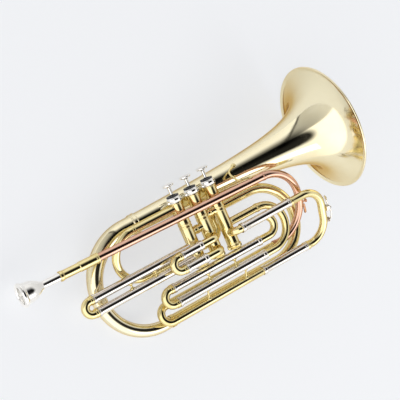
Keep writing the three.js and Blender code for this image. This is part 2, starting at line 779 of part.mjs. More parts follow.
// The lever follows the bend of the bow to its thumb end, with the cork cup at its other end.
function waterKeyLever() {
  const thickness = keyArmThickness;
  const cupTop = nippleHeight + corkHeight + 3 * seatGap;
  const armAt = keyPinOut - thickness / 2;
  const [bendAt, thumbAt] = [keyPinDown - keyThumbLength / 2, keyPinDown - keyThumbLength];
  const arm = new THREE.Shape();
  arm.moveTo(keyCupDown, cupTop);
  arm.lineTo(keyPinDown, armAt);
  arm.quadraticCurveTo(bendAt, armAt, thumbAt, armAt - keyThumbDrop);
  arm.lineTo(thumbAt, armAt - keyThumbDrop + thickness);
  arm.quadraticCurveTo(bendAt, armAt + thickness, keyPinDown, armAt + thickness);
  arm.lineTo(keyCupDown, cupTop + thickness);
  const barrel = keyRod(2 * keyPinRadius + seatGap, keyArmWidth, keyPinDown, keyPinOut);
  const cup = turned([
    [0, cupTop], [corkRadius + seatGap, cupTop], [corkRadius + seatGap, cupTop - corkHeight / 2],
    [keyCupRadius, cupTop - corkHeight / 2], [keyCupRadius, cupTop + thickness / 2],
    [keyCupRadius - thickness / 2, cupTop + thickness], [0, cupTop + thickness],
  ]);
  laidAlong(cup, xAxis, keyPlace(keyCupDown, 0));
  const pinRoom = keyRod(keyPinRadius + seatGap, saddleWidth, keyPinDown, keyPinOut);
  const solid = cutFrom(joinTo(keyPlate(arm, keyArmWidth), barrel, cup), pinRoom);
  addPiece('water_key_lever', solid, 'nickelSilver');
}

function waterKeyCork() {
  const low = nippleHeight + 2 * seatGap;
  const cork = turned([[0, low], [corkRadius, low], [corkRadius, low + corkHeight], [0, low + corkHeight]]);
  addPiece('water_key_cork', laidAlong(cork, xAxis, keyPlace(keyCupDown, 0)), 'cork');
  const nipple = turned([
    [0, seatGap], [nippleRadius + edgeStep, seatGap], [nippleRadius, 2 * edgeStep],
    [nippleRadius, nippleHeight + seatGap], [0, nippleHeight + seatGap],
  ], tubeSides);
  addPiece('water_key_nipple', laidAlong(nipple, xAxis, keyPlace(keyCupDown, 0)), 'nickelSilver');
}

// A torsion spring coiled about the pin beside the lever's barrel.
function waterKeySpring() {
  const from = keyArmWidth / 2 + seatGap + keyWireRadius;
  const to = saddleWidth / 2 - earThickness - seatGap - keyWireRadius;
  const steps = keySpringTurns * springTurnSteps;
  const points = [];
  for (let i = 0; i <= steps; i += 1) {
    const angle = (2 * Math.PI * i) / springTurnSteps;
    const across = from + ((to - from) * i) / steps;
    points.push(keyPlace(keyPinDown + keySpringRadius * Math.cos(angle),
      keyPinOut + keySpringRadius * Math.sin(angle), across));
  }
  const leastGap = (to - from) / keySpringTurns - 2 * keyWireRadius;
  console.log(`water key spring: least gap between turns ${leastGap.toFixed(2)} mm`);
  addPiece('water_key_spring', wire(points, keyWireRadius, springSides), 'steel');
}

// Valves

function casing(ports) {
  const [outer, inner] = [casingRadius, casingRadius - casingWall];
  const groove = casingRadius - casingGrooveDepth;
  const body = turned([
    [inner, casingBottomY], [outer, casingBottomY],
    [outer, casingGrooveY - casingGrooveWidth], [groove, casingGrooveY - casingGrooveWidth / 2],
    [outer, casingGrooveY], [outer, casingTopY], [inner, casingTopY], [inner, casingBottomY],
  ]);
  const drills = ports.map(([direction, y]) => {
    const reach = casingRadius + cutOverrun;
    const drill = new THREE.CylinderGeometry(portBore / 2, portBore / 2, reach, tubeSides);
    return laidAlong(drill.translate(0, reach / 2, 0), direction, at(0, y, 0));
  });
  return cutFrom(body, ...drills);
}

function topCap() {
  const skirt = casingRadius + seatGap;
  const outer = capOuter / 2;
  const top = casingTopY + seatGap;
  const roof = top + capRoof;
  const hole = stemRadius + seatGap;
  const low = top - capTopHeight;
  return turned([
    [skirt, low], [outer - edgeStep, low], [outer, low + edgeStep], [outer, low + 2 * edgeStep + capRoof],
    [outer - edgeStep, low + 3 * edgeStep + capRoof], [outer - edgeStep, roof - edgeStep],
    [outer - 2 * edgeStep, roof], [feltRadius, roof + capDome], [hole, roof + capDome], [hole, top],
    [skirt, top], [skirt, low],
  ]);
}

function bottomCap() {
  const skirt = casingRadius + seatGap;
  const outer = capOuter / 2;
  const floorTop = casingBottomY - seatGap;
  const floor = floorTop - capFloor;
  const high = floorTop + capBottomHeight;
  return turned([
    [capVentRadius, floor], [outer - 2 * edgeStep, floor], [outer, floor + 2 * edgeStep],
    [outer, high - 3 * edgeStep - capFloor], [outer - edgeStep, high - 2 * edgeStep - capFloor],
    [outer - edgeStep, high], [skirt, high], [skirt, floorTop], [capVentRadius, floorTop],
    [capVentRadius, floor],
  ]);
}

function piston() {
  const radius = casingRadius - casingWall - pistonClearance;
  const bottom = pistonTopY - pistonLength;
  const pocket = bottom + springPocketDepth;
  const threadTop = pistonTopY - pistonRoof;
  const body = turned([
    [0, pocket], [springPocketRadius, pocket], [springPocketRadius, bottom], [radius, bottom],
    [radius, pistonTopY], [0, pistonTopY],
  ]);
  const drill = (share, turn) => {
    const cut = new THREE.CylinderGeometry(boreRadius, boreRadius, 2 * radius + cutOverrun, tubeSides);
    cut.rotateZ(Math.PI / 2).rotateY(turn);
    return cut.translate(0, threadTop - share * (threadTop - pocket), 0);
  };
  return cutFrom(body, ...pistonPassageShares.map(([share, turn]) => drill(share, turn)));
}

// The stem screws on the piston and carries the finger button.
function stemAndButton() {
  const foot = pistonTopY + seatGap;
  const capTop = casingTopY + seatGap + capRoof + capDome;
  const felt = capTop + seatGap + feltHeight;
  const under = felt + valveTravel + seatGap;
  const top = under + buttonHeight;
  const collar = under - feltHeight;
  return turned([
    [0, foot], [stemRadius, foot], [stemRadius, collar], [stemCollarRadius, under],
    [buttonRadius - edgeStep, under], [buttonRadius, under + edgeStep], [buttonRadius, top - edgeStep],
    [buttonRadius - edgeStep, top], [buttonRadius - 3 * edgeStep, top],
    [buttonRadius - 4 * edgeStep, top - buttonDish], [0, top - buttonDish],
  ]);
}

function feltWasher() {
  const low = casingTopY + 2 * seatGap + capRoof + capDome;
  const high = low + feltHeight;
  const hole = stemCollarRadius + seatGap;
  return turned([[hole, low], [feltRadius, low], [feltRadius, high], [hole, high], [hole, low]]);
}

// A compression spring from the bottom cap's floor to the roof of the piston's pocket.
function valveSpring() {
  const low = casingBottomY + springWireRadius;
  const high = pistonTopY - pistonLength + springPocketDepth - seatGap - springWireRadius;
  const steps = springTurns * springTurnSteps;
  const stops = [];
  for (let i = 0; i <= steps; i += 1) {
    const angle = (2 * Math.PI * i) / springTurnSteps;
    const point = at(springRadius * Math.cos(angle), low + ((high - low) * i) / steps,
      springRadius * Math.sin(angle));
    stops.push(point);
  }
  const leastGap = (high - low) / springTurns - 2 * springWireRadius;
  console.log(`valve spring: least gap between turns ${leastGap.toFixed(2)} mm`);
  return wire(stops, springWireRadius, springSides);
}

// A solid round wire through a list of points.
function wire(points, radius, sides) {
  const positions = [];
  const indices = [];
  const last = points.length - 1;
  let normal = yAxis.clone();
  points.forEach((point, i) => {
    const tangent = points[Math.min(i + 1, last)].clone().sub(points[Math.max(i - 1, 0)]).normalize();
    normal.addScaledVector(tangent, -normal.dot(tangent)).normalize();
    const side = tangent.clone().cross(normal);
    for (let k = 0; k < sides; k += 1) {
      const angle = (2 * Math.PI * k) / sides;
      positions.push(...point.clone().addScaledVector(normal, radius * Math.cos(angle))
        .addScaledVector(side, radius * Math.sin(angle)).toArray());
    }
  });
  for (let i = 0; i < last; i += 1) {
    for (let k = 0; k < sides; k += 1) {
      const [a, b] = [i * sides + k, i * sides + ((k + 1) % sides)];
      indices.push(a, b, b + sides, a, b + sides, a + sides);
    }
  }
  for (let k = 1; k < sides - 1; k += 1) {
    indices.push(0, k + 1, k);
    indices.push(last * sides, last * sides + k, last * sides + k + 1);
  }
  const geometry = new THREE.BufferGeometry();
  geometry.setAttribute('position', new THREE.Float32BufferAttribute(positions, 3));
  geometry.setIndex(indices);
  return closedSolid(geometry);
}

function valves() {
  const [left, right, front] = [xAxis.clone().negate(), xAxis, zAxis];
  const firstLower = firstSlideY - firstSlidePitch;
  const secondLower = secondSlideY - secondSlidePitch;
  const ports = [
    [[left, exitPortY], [left, firstSlideY], [left, firstLower], [right, firstKnuckleY]],
    [[left, firstKnuckleY], [right, secondKnuckleY], [front, secondSlideY], [front, secondLower]],
    [[left, secondKnuckleY], [right, longPortY], [right, shortPortY], [front, mainUpperY]],
  ];
  ports.forEach((list, valve) => {
    const group = new THREE.Group();
    group.position.set(valveX[valve], 0, valvePlaneZ);
    instrument.add(group);
    const number = valve + 1;
    addPiece(`valve_${number}_casing`, casing(list), 'lacqueredBrass', group);
    addPiece(`valve_${number}_top_cap`, topCap(), 'silverPlate', group);
    addPiece(`valve_${number}_bottom_cap`, bottomCap(), 'lacqueredBrass', group);
    addPiece(`valve_${number}_piston`, piston(), 'nickelSilver', group);
    addPiece(`valve_${number}_button`, stemAndButton(), 'silverPlate', group);
    addPiece(`valve_${number}_felt`, feltWasher(), 'felt', group);
    addPiece(`valve_${number}_spring`, valveSpring(), 'steel', group);
  });
  knuckle('valve_knuckle_1', 0, firstKnuckleY);
  knuckle('valve_knuckle_2', 1, secondKnuckleY);
}

// A short tube between two neighbouring casings.
function knuckle(name, valve, y) {
  const corners = [at(valveX[valve], y, valvePlaneZ), at(valveX[valve + 1], y, valvePlaneZ)];
  const middle = (valveSpacing - ringLength) / 2;
  const solid = plainPipe(corners, 0, tubeOuter, tubeWall, [[middle, ringLength]]);
  addPiece(name, cutFrom(solid, casingRoom(valveX[valve]), casingRoom(valveX[valve + 1])), 'lacqueredBrass');
}

// Valve slides

// A sliding crook: two inner legs and the bow between them, in one piece.
function crook(name, openX, upperY, pitch, z, insertion) {
  const bend = pitch / 2;
  const far = openX - seatGap - crookFerruleLength - bend;
  const start = openX + insertion;
  const corners = [at(start, upperY, z), at(far, upperY, z), at(far, upperY - pitch, z),
    at(start, upperY - pitch, z)];
  const route = bentRoute(corners, bend);
  const length = routeLength(route);
  const leg = insertion + seatGap;
  const [thin, bow, bore] = [legOuter / 2, crookBowOuter / 2, legOuter / 2 - legWall];
  const half = [
    { at: 0, outer: thin, bore }, { at: leg, outer: thin, bore },
    { at: leg + edgeStep, outer: bow + ringHeight, bore },
    { at: leg + ringLength, outer: bow + ringHeight, bore },
    { at: leg + ringLength + edgeStep, outer: bow, bore },
  ];
  const mirrored = half.map((mark) => ({ ...mark, at: length - mark.at })).reverse();
  addPiece(name, pipe(route, [...half, ...mirrored]), 'nickelSilver');
}

// Struts between the two outer legs of a slide, fused to its lower leg.
function bracedLower(lower, upperY, pitch, z, places) {
  const struts = places.map((x) => strutAt(x, [upperY - pitch, z, sleeveRadius], [upperY, z, sleeveRadius]));
  return joinTo(lower, ...struts);
}

function firstSlide() {
  const [upper, lower] = [firstSlideY, firstSlideY - firstSlidePitch];
  const outer = (y) => {
    const length = valveX[0] - firstSlideOpenX;
    const profile = ringedProfile(length, sleeveOuter, sleeveWall, [[length - ringLength, ringLength]]);
    const route = bentRoute([at(valveX[0], y, valvePlaneZ), at(firstSlideOpenX, y, valvePlaneZ)], 0);
    return cutFrom(pipe(route, profile), casingRoom(valveX[0]));
  };
  addPiece('slide_1_upper_outer', outer(upper), 'nickelSilver');
  const places = [firstBraceOneX, firstBraceTwoX];
  addPiece('slide_1_lower_outer', bracedLower(outer(lower), upper, firstSlidePitch, valvePlaneZ, places),
    'nickelSilver');
  crook('slide_1_crook', firstSlideOpenX, upper, firstSlidePitch, valvePlaneZ, firstLegInsertion);
}

function secondSlide() {
  const end = secondSlideRootX - socketDepth + seatGap;
  [['upper', secondSlideY], ['lower', secondSlideY - secondSlidePitch]].forEach(([place, y]) => {
    addPiece(`slide_2_${place}_outer`, sleeve(secondSlideRootX, secondSlideOpenX, y, secondSlideZ),
      'nickelSilver');
    addPiece(`slide_2_${place}_elbow`, frontElbow(1, y, secondSlideZ, end), 'lacqueredBrass');
  });
  crook('slide_2_crook', secondSlideOpenX, secondSlideY, secondSlidePitch, secondSlideZ, secondLegInsertion);
}

// A tube from the third valve's right side that turns back into the third slide.
function portTube(name, portY, slideY) {
  const bend = (portY - slideY) / 2;
  const far = portBowCentreX + bend;
  const corners = [at(valveX[2], portY, valvePlaneZ), at(far, portY, valvePlaneZ),
    at(far, slideY, valvePlaneZ), at(thirdSlideRootX - socketDepth + seatGap, slideY, valvePlaneZ)];
  const run = portBowCentreX - valveX[2];
  const solid = plainPipe(corners, bend, tubeOuter, tubeWall, [[run - ringLength, ringLength]]);
  addPiece(name, cutFrom(solid, casingRoom(valveX[2])), 'lacqueredBrass');
}

function thirdSlide() {
  const [upper, lower] = [thirdSlideY, thirdSlideY - thirdSlidePitch];
  addPiece('slide_3_upper_outer', sleeve(thirdSlideRootX, thirdSlideOpenX, upper, valvePlaneZ),
    'nickelSilver');
  const leg = sleeve(thirdSlideRootX, thirdSlideOpenX, lower, valvePlaneZ);
  addPiece('slide_3_lower_outer', bracedLower(leg, upper, thirdSlidePitch, valvePlaneZ,
    [thirdBraceOneX, thirdBraceTwoX]), 'nickelSilver');
  crook('slide_3_crook', thirdSlideOpenX, upper, thirdSlidePitch, valvePlaneZ, thirdLegInsertion);
  portTube('slide_3_short_port_tube', shortPortY, upper);
  portTube('slide_3_long_port_tube', longPortY, lower);
}

bell();
bellBow();
neckTube();
exitTube();
leadpipe();
leadpipeCrook();
returnTube();
receiver();
mouthpiece();
bellBrace();
mainSlide();
waterKeySaddle();
waterKeyLever();
waterKeyCork();
waterKeySpring();
valves();
firstSlide();
secondSlide();
thirdSlide();

// Lays the instrument on its side: rim and bell bow touch the floor together.
function laidDown() {
  const bowX = bellBowCentreX - bellBowRadius;
  const bowRadius = (flareRadius(bellLength) + bellBowEndOuter / 2) / 2;
  const reach = Math.hypot(bowX, bellRimRadius);
  const pitch = Math.asin(bellRimRadius / reach) - Math.asin(bowRadius / reach);
  const resting = new THREE.Group();
  instrument.rotation.set(0, -pitch, 0);
  resting.add(instrument);
  resting.updateMatrixWorld(true);
  const box = new THREE.Box3().setFromObject(resting, true);
  const centre = box.getCenter(new THREE.Vector3());
  resting.position.set(-centre.x, -centre.y, -box.min.z);
  return resting;
}

export default laidDown();
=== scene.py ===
"""Looks of a valved marching trombone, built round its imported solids.

Sizes are in millimetres in the instrument's own frame: +X runs with the bell's sound, +Y points to
the valve buttons, +Z to the player's right, and the origin is the centre of the bell's rim. RESTING
lays that frame on its side in the row frame, in metres, where every mesh is made. LEAST_STEP and
LEAST_SIDE are the shortest steps kept on a path and an outline, STRAIGHT is the cosine of the least
turn that counts as a corner, and SMOOTH_ANGLE, in degrees, is the sharpest edge shaded smooth.
"""

import logging
import math
from dataclasses import dataclass
from enum import Enum
from functools import cache
from typing import Sequence

import bmesh
import bpy
import numpy as np
from mathutils import Euler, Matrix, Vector


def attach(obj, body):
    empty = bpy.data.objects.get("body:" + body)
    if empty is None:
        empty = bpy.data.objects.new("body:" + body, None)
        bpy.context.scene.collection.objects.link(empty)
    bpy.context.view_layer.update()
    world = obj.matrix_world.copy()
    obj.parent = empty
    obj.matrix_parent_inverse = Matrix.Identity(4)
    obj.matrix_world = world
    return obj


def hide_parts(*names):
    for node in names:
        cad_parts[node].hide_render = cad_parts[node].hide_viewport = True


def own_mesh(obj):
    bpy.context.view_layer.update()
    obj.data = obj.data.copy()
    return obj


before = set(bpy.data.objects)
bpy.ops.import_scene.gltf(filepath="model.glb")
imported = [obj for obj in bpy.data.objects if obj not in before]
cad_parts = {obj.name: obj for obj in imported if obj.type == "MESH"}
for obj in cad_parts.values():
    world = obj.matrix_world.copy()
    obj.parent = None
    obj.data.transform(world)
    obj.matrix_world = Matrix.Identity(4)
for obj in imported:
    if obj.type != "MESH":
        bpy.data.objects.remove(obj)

LOG = logging.getLogger("marching_trombone")
Array = np.ndarray
Marks = list[tuple[float, float]]
X, Y, Z = np.eye(3)
LEAST_STEP = 0.02
LEAST_SIDE = 1e-4
STRAIGHT = 0.94
SMOOTH_ANGLE = 38.0


class Body(Enum):
    """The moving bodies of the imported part."""

    INSTRUMENT = "instrument"
    MOUTHPIECE = "mouthpiece"
    MAIN_SLIDE = "main_tuning_slide"
    WATER_KEY = "water_key"
    VALVE_1 = "valve_1_piston_and_button"
    VALVE_2 = "valve_2_piston_and_button"
    VALVE_3 = "valve_3_piston_and_button"
    SLIDE_1 = "slide_1_crook"
    SLIDE_2 = "slide_2_crook"
    SLIDE_3 = "slide_3_crook"


# Placement and paths


@dataclass(frozen=True)
class Placement:
    """Lays the instrument's frame, in millimetres, down in the row frame, in metres."""

    pitch: float = 0.19577022547668083
    shift: tuple[float, float, float] = (296.929285, 30.923744, 107.777507)

    def to_row(self, points: Array) -> Array:
        """Turns points about Y by the pitch, then shifts them.

        Args:
            points: any array whose last axis holds x, y and z.

        Returns:
            The same points in the row frame.
        """
        c, s = math.cos(self.pitch), math.sin(self.pitch)
        turn = np.array([[c, 0.0, -s], [0.0, 1.0, 0.0], [s, 0.0, c]])
        return (points @ turn.T + np.array(self.shift)) * 0.001


RESTING = Placement()


def unit(vectors: Array) -> Array:
    """Vectors divided by their own lengths."""
    return vectors / np.maximum(np.linalg.norm(vectors, axis=-1, keepdims=True), 1e-12)


@dataclass(frozen=True)
class Path:
    """A smooth line through space, as points with their unit tangents."""

    points: Array
    tangents: Array

    @property
    def distances(self) -> Array:
        """Distance along the line at each point: the running sum of its steps."""
        steps = np.linalg.norm(np.diff(self.points, axis=0), axis=1)
        return np.concatenate([[0.0], np.cumsum(steps)])

    @property
    def length(self) -> float:
        """The line's whole length."""
        return float(self.distances[-1])

    def at(self, distance: Array) -> tuple[Array, Array]:
        """Points and tangents at any distances, between the known ones in proportion.

        Args:
            distance: an array of distances, which may run past either end in a straight line.

        Returns:
            Points and unit tangents, with one more axis than the distances.
        """
        known = self.distances
        flat = distance.ravel()
        inside = np.clip(flat, 0.0, known[-1])
        points = np.stack([np.interp(inside, known, self.points[:, k]) for k in range(3)], 1)
        tangents = unit(np.stack([np.interp(inside, known, self.tangents[:, k]) for k in range(3)], 1))
        points = points + tangents * (flat - inside)[:, None]
        shape = (*distance.shape, 3)
        return points.reshape(shape), tangents.reshape(shape)


def bent_path(corners: Sequence[Sequence[float]], bend: float, steps: int = 22) -> Path:
    """Straight runs joined by round bends of one radius.

    Each bend starts bend times tan(turn / 2) before its corner and follows the circle
    centre + r cos(angle) + bend entry sin(angle), where r runs from the centre to its start.

    Args:
        corners: the points where the runs would meet, ends included.
        bend: the radius of each bend.
        steps: the number of steps round a bend.

    Returns:
        The path.
    """
    places = np.array(corners, float)
    runs = unit(np.diff(places, axis=0))
    points, tangents = [places[:1]], [runs[:1]]
    for corner, entry, leave in zip(places[1:-1], runs[:-1], runs[1:]):
        turn = math.acos(float(np.clip(entry @ leave, -1, 1)))
        across = unit(np.cross(np.cross(entry, leave), entry))
        start = corner - entry * bend * math.tan(turn / 2)
        angle = np.linspace(0.0, turn, steps + 1)[:, None]
        centre = start + across * bend
        points.append(centre - across * bend * np.cos(angle) + entry * bend * np.sin(angle))
        tangents.append(entry * np.cos(angle) + across * np.sin(angle))
    points.append(places[-1:])
    tangents.append(runs[-1:])
    line, way = np.concatenate(points), np.concatenate(tangents)
    kept = np.concatenate([[True], np.linalg.norm(np.diff(line, axis=0), axis=1) > LEAST_STEP])
    return Path(line[kept], way[kept])


def straight(start: float, end: float, y: float, z: float) -> Path:
    """A straight run along X."""
    return bent_path([(start, y, z), (end, y, z)], 0.0)


def joined(first: Path, second: Path) -> Path:
    """The second path carried on from the end of the first."""
    return Path(np.concatenate([first.points, second.points[1:]]),
                np.concatenate([first.tangents, second.tangents[1:]]))


def eased_path(knots: Sequence[Sequence[float]], steps: int = 14) -> Path:
    """A smooth line through knots, each span the cubic whose end slopes are half the chord
    between its neighbours.

    Args:
        knots: the points that the line passes through.
        steps: the number of steps in each span.

    Returns:
        The path.
    """
    k = np.array(knots, float)
    k = np.concatenate([2 * k[:1] - k[1:2], k, 2 * k[-1:] - k[-2:-1]])
    t = np.linspace(0.0, 1.0, steps, endpoint=False)[None, :, None]
    a, b, c, d = (k[i:len(k) - 3 + i][:, None, :] for i in range(4))
    line = 0.5 * (2 * b + (c - a) * t + (2 * a - 5 * b + 4 * c - d) * t**2 + (3 * b - a - 3 * c + d) * t**3)
    line = np.concatenate([line.reshape(-1, 3), k[-2:-1]])
    return Path(line, unit(np.gradient(line, axis=0)))


def coil_path(start: Array, axis: Array, side: Array, radius: float, rise: float, turns: float) -> Path:
    """A coil: start + rise t axis + radius (side cos(angle) + across sin(angle)).

    Args:
        start: the middle of the coil's first turn.
        axis: the coil's axis.
        side: a direction at right angles to the axis, where the wire starts.
        radius: the radius of the wire's centre line.
        rise: the coil's whole length.
        turns: the number of turns.

    Returns:
        The path.
    """
    t = np.linspace(0.0, 1.0, int(26 * turns) + 1)[:, None]
    angle = 2 * math.pi * turns * t
    across = np.cross(axis, side)
    line = start + rise * t * axis + radius * (side * np.cos(angle) + across * np.sin(angle))
    return Path(line, unit(np.gradient(line, axis=0)))


# Outlines


def softened(marks: Marks, radius: float, looped: bool, steps: int = 3) -> Array:
    """An outline with each sharp corner turned into the parabola
    (1 - t)^2 a + 2 t (1 - t) corner + t^2 b between points a and b set back along its sides.

    Args:
        marks: corners as distance along the path and radius.
        radius: the set-back, at most 0.45 of either side.
        looped: whether the last corner joins the first.
        steps: the number of steps round a corner.

    Returns:
        The rounded outline.
    """
    corner = np.array(marks, float)
    before, after = np.roll(corner, 1, 0), np.roll(corner, -1, 0)
    if not looped:
        before[0], after[-1] = corner[0], corner[-1]
    back, ahead = before - corner, after - corner
    reach_back, reach_ahead = (np.linalg.norm(v, axis=1, keepdims=True) for v in (back, ahead))
    turn = np.einsum("ij,ij->i", unit(-back), unit(ahead))[:, None]
    sharp = (turn < STRAIGHT) & (reach_back > 0) & (reach_ahead > 0)
    a = corner + unit(back) * np.where(sharp, np.minimum(radius, 0.45 * reach_back), 0.0)
    b = corner + unit(ahead) * np.where(sharp, np.minimum(radius, 0.45 * reach_ahead), 0.0)
    t = np.linspace(0.0, 1.0, steps + 1)[None, :, None]
    line = (1 - t) ** 2 * a[:, None] + 2 * t * (1 - t) * corner[:, None] + t**2 * b[:, None]
    line = line.reshape(-1, 2)
    kept = np.concatenate([[True], np.linalg.norm(np.diff(line, axis=0), axis=1) > LEAST_SIDE])
    line = line[kept]
    return line[:-1] if looped and np.linalg.norm(line[0] - line[-1]) < LEAST_SIDE else line


def stationed(outline: Array, stations: Array, looped: bool) -> Array:
    """An outline with extra points where it passes the path's own stations, so that it bends there.

    Args:
        outline: distance along the path and radius, point by point.
        stations: the path's distances.
        looped: whether the last point joins the first.

    Returns:
        The finer outline.
    """
    ends = np.roll(outline, -1, 0) if looped else outline[1:]
    parts = []
    for (s0, r0), (s1, r1) in zip(outline, ends):
        low, high = min(s0, s1), max(s0, s1)
        middle = stations[(stations > low + 0.05) & (stations < high - 0.05)]
        middle = middle[::-1] if s1 < s0 else middle
        radii = r0 + (r1 - r0) * (middle - s0) / (s1 - s0 or 1.0)
        parts.append(np.concatenate([[(s0, r0)], np.stack([middle, radii], 1)]))
    return np.concatenate(parts if looped else [*parts, outline[-1:]])


def ferrule(start: float, span: float, radius: float, height: float = 0.9) -> Marks:
    """A raised ring with a fine groove near its first edge, as marks along a tube."""
    top = radius + height
    return [(start, radius), (start, top), (start + 0.22 * span, top), (start + 0.26 * span, top - 0.35),
            (start + 0.36 * span, top - 0.35), (start + 0.4 * span, top), (start + span, top),
            (start + span, radius)]


def mirrored(marks: Marks, length: float) -> Marks:
    """Marks measured from the other end of a tube."""
    return [(length - s, r) for s, r in reversed(marks)]


def placed(start: float, radius: float, *steps: tuple[float, float]) -> Marks:
    """Marks given by their steps from one place along the axis and from one radius."""
    return [(start + along, radius + out) for along, out in steps]


# Surfaces and meshes


@dataclass(frozen=True)
class Surface:
    """A grid of points, rows by columns, closed round its columns."""

    points: Array
    looped: bool


@dataclass(frozen=True)
class Seat:
    """The round wall that a tube's end sits on: its end follows that wall's curve.

    A tipped seat's wall runs sideways instead of along the tube's upward direction.
    """

    radius: float
    reach: float = 3.0
    tipped: bool = False

    def follow(self, distance: Array, radius: Array, angle: Array) -> Array:
        """Distance less radius - sqrt(radius^2 - lateral^2), fading out over the reach."""
        lateral = radius * (np.cos(angle) if self.tipped else np.sin(angle))
        sag = self.radius - np.sqrt(np.maximum(self.radius**2 - lateral**2, 0.0))
        fade = np.clip(1 - (distance - self.radius) / self.reach, 0.0, 1.0)
        return distance - sag * fade * fade


@dataclass(frozen=True)
class Knurl:
    """Fine ridges round a rim: radius plus depth |cos(count angle / 2)| between two distances."""

    low: float
    high: float
    count: int
    depth: float = 0.35

    def rise(self, distance: Array, angle: Array) -> Array:
        """The height of the ridges at each distance and angle."""
        inside = (distance > self.low) & (distance < self.high)
        return inside * self.depth * np.abs(np.cos(self.count * angle / 2))


def swept(path: Path, outline: Array, looped: bool = True, sides: int = 40, up: Array = Z,
          start: Seat | None = None, end: Seat | None = None, knurl: Knurl | None = None) -> Surface:
    """A round section carried along a path: path(s) + r (up' cos(angle) + side sin(angle)), where
    up' is the upward direction made square to the path.

    Args:
        path: the centre line.
        outline: distance along the path and radius; a looped one makes a hollow wall.
        looped: whether the outline joins up; if not, it begins and ends on the centre line.
        sides: the number of points round the section.
        up: a direction that no tangent of the path runs along.
        start: the wall that the first end sits on.
        end: the wall that the last end sits on.
        knurl: ridges round part of it.

    Returns:
        The surface.
    """
    outline = stationed(outline, path.distances, looped)
    angle = 2 * math.pi * np.arange(sides) / sides
    s = np.repeat(outline[:, :1], sides, 1)
    r = np.repeat(outline[:, 1:], sides, 1)
    if knurl:
        r = r + knurl.rise(s, angle[None, :])
    if start:
        s = start.follow(s, r, angle)
    if end:
        s = path.length - end.follow(path.length - s, r, angle)
    points, tangents = path.at(s)
    normal = unit(up - (tangents @ up)[..., None] * tangents)
    side = np.cross(tangents, normal)
    ring = normal * np.cos(angle)[None, :, None] + side * np.sin(angle)[None, :, None]
    return Surface(points + r[..., None] * ring, looped)


def turned(marks: Marks, origin: Array, axis: Array, looped: bool = True, soft: float = 0.3,
           sides: int = 72, up: Array = X, knurl: Knurl | None = None) -> Surface:
    """An outline of (distance, radius) revolved about an axis through a point."""
    low, high = min(s for s, _ in marks), max(s for s, _ in marks)
    way = unit(np.array(axis, float))
    line = Path(np.array([origin + way * low, origin + way * high]), np.array([way, way]))
    outline = softened(marks, soft, looped) - np.array([low, 0.0])
    if knurl:
        knurl = Knurl(knurl.low - low, knurl.high - low, knurl.count, knurl.depth)
    return swept(line, outline, looped, sides, up, knurl=knurl)


def hollow(path: Path, outer: Marks, bore: Marks, soft: float = 0.25, **options: object) -> Surface:
    """A tube with its wall: the outer marks forwards and the bore marks back, as one loop."""
    return swept(path, softened([*outer, *reversed(bore)], soft, True), True, **options)


def pipe(path: Path, radius: float, bore: float, **options: object) -> Surface:
    """A plain tube with its wall."""
    return hollow(path, *([(0.0, r), (path.length, r)] for r in (radius, bore)), **options)


def rod(path: Path, radius: float, soft: float = 0.3, sides: int = 24, up: Array = Y) -> Surface:
    """A solid round wire with softened ends."""
    marks = [(0.0, 0.0), (0.0, radius), (path.length, radius), (path.length, 0.0)]
    return swept(path, softened(marks, min(soft, radius / 2), False), False, sides, up)


def plate(outline: Marks, width: float, origin: Array, axes: tuple[Array, Array],
          bevel: float = 0.3) -> Surface:
    """A flat outline given a thickness, its rims rounded by rows set in by the bevel.

    A point is origin + a u + b v + h w, with w square to u and v. Each row is the outline moved
    along its own outward normals.

    Args:
        outline: corners (a, b) of the shape, in order.
        width: the thickness, centred on the origin.
        origin: the place of (0, 0).
        axes: the directions u and v.
        bevel: how far the rims are rounded.

    Returns:
        The surface, closed by one flat face at each side.
    """
    flat = softened(outline, 0.8, True, 4)
    tangent = unit(np.roll(flat, -1, 0) - np.roll(flat, 1, 0))
    normal = np.stack([tangent[:, 1], -tangent[:, 0]], 1)
    area = np.sum(flat[:, 0] * np.roll(flat[:, 1], -1) - np.roll(flat[:, 0], -1) * flat[:, 1])
    normal = normal * math.copysign(1.0, area)
    half, turn = width / 2, np.linspace(0.0, math.pi / 2, 4)
    rise, inset = bevel * (1 - np.cos(turn)), bevel * (1 - np.sin(turn))
    heights = np.concatenate([-half + rise, half - rise[::-1]])
    insets = np.concatenate([inset, inset[::-1]])
    u, v = axes
    w = np.cross(u, v)
    rows = flat[None] - normal[None] * insets[:, None, None]
    points = origin + rows[..., :1] * u + rows[..., 1:] * v + heights[:, None, None] * w
    return Surface(points, False)


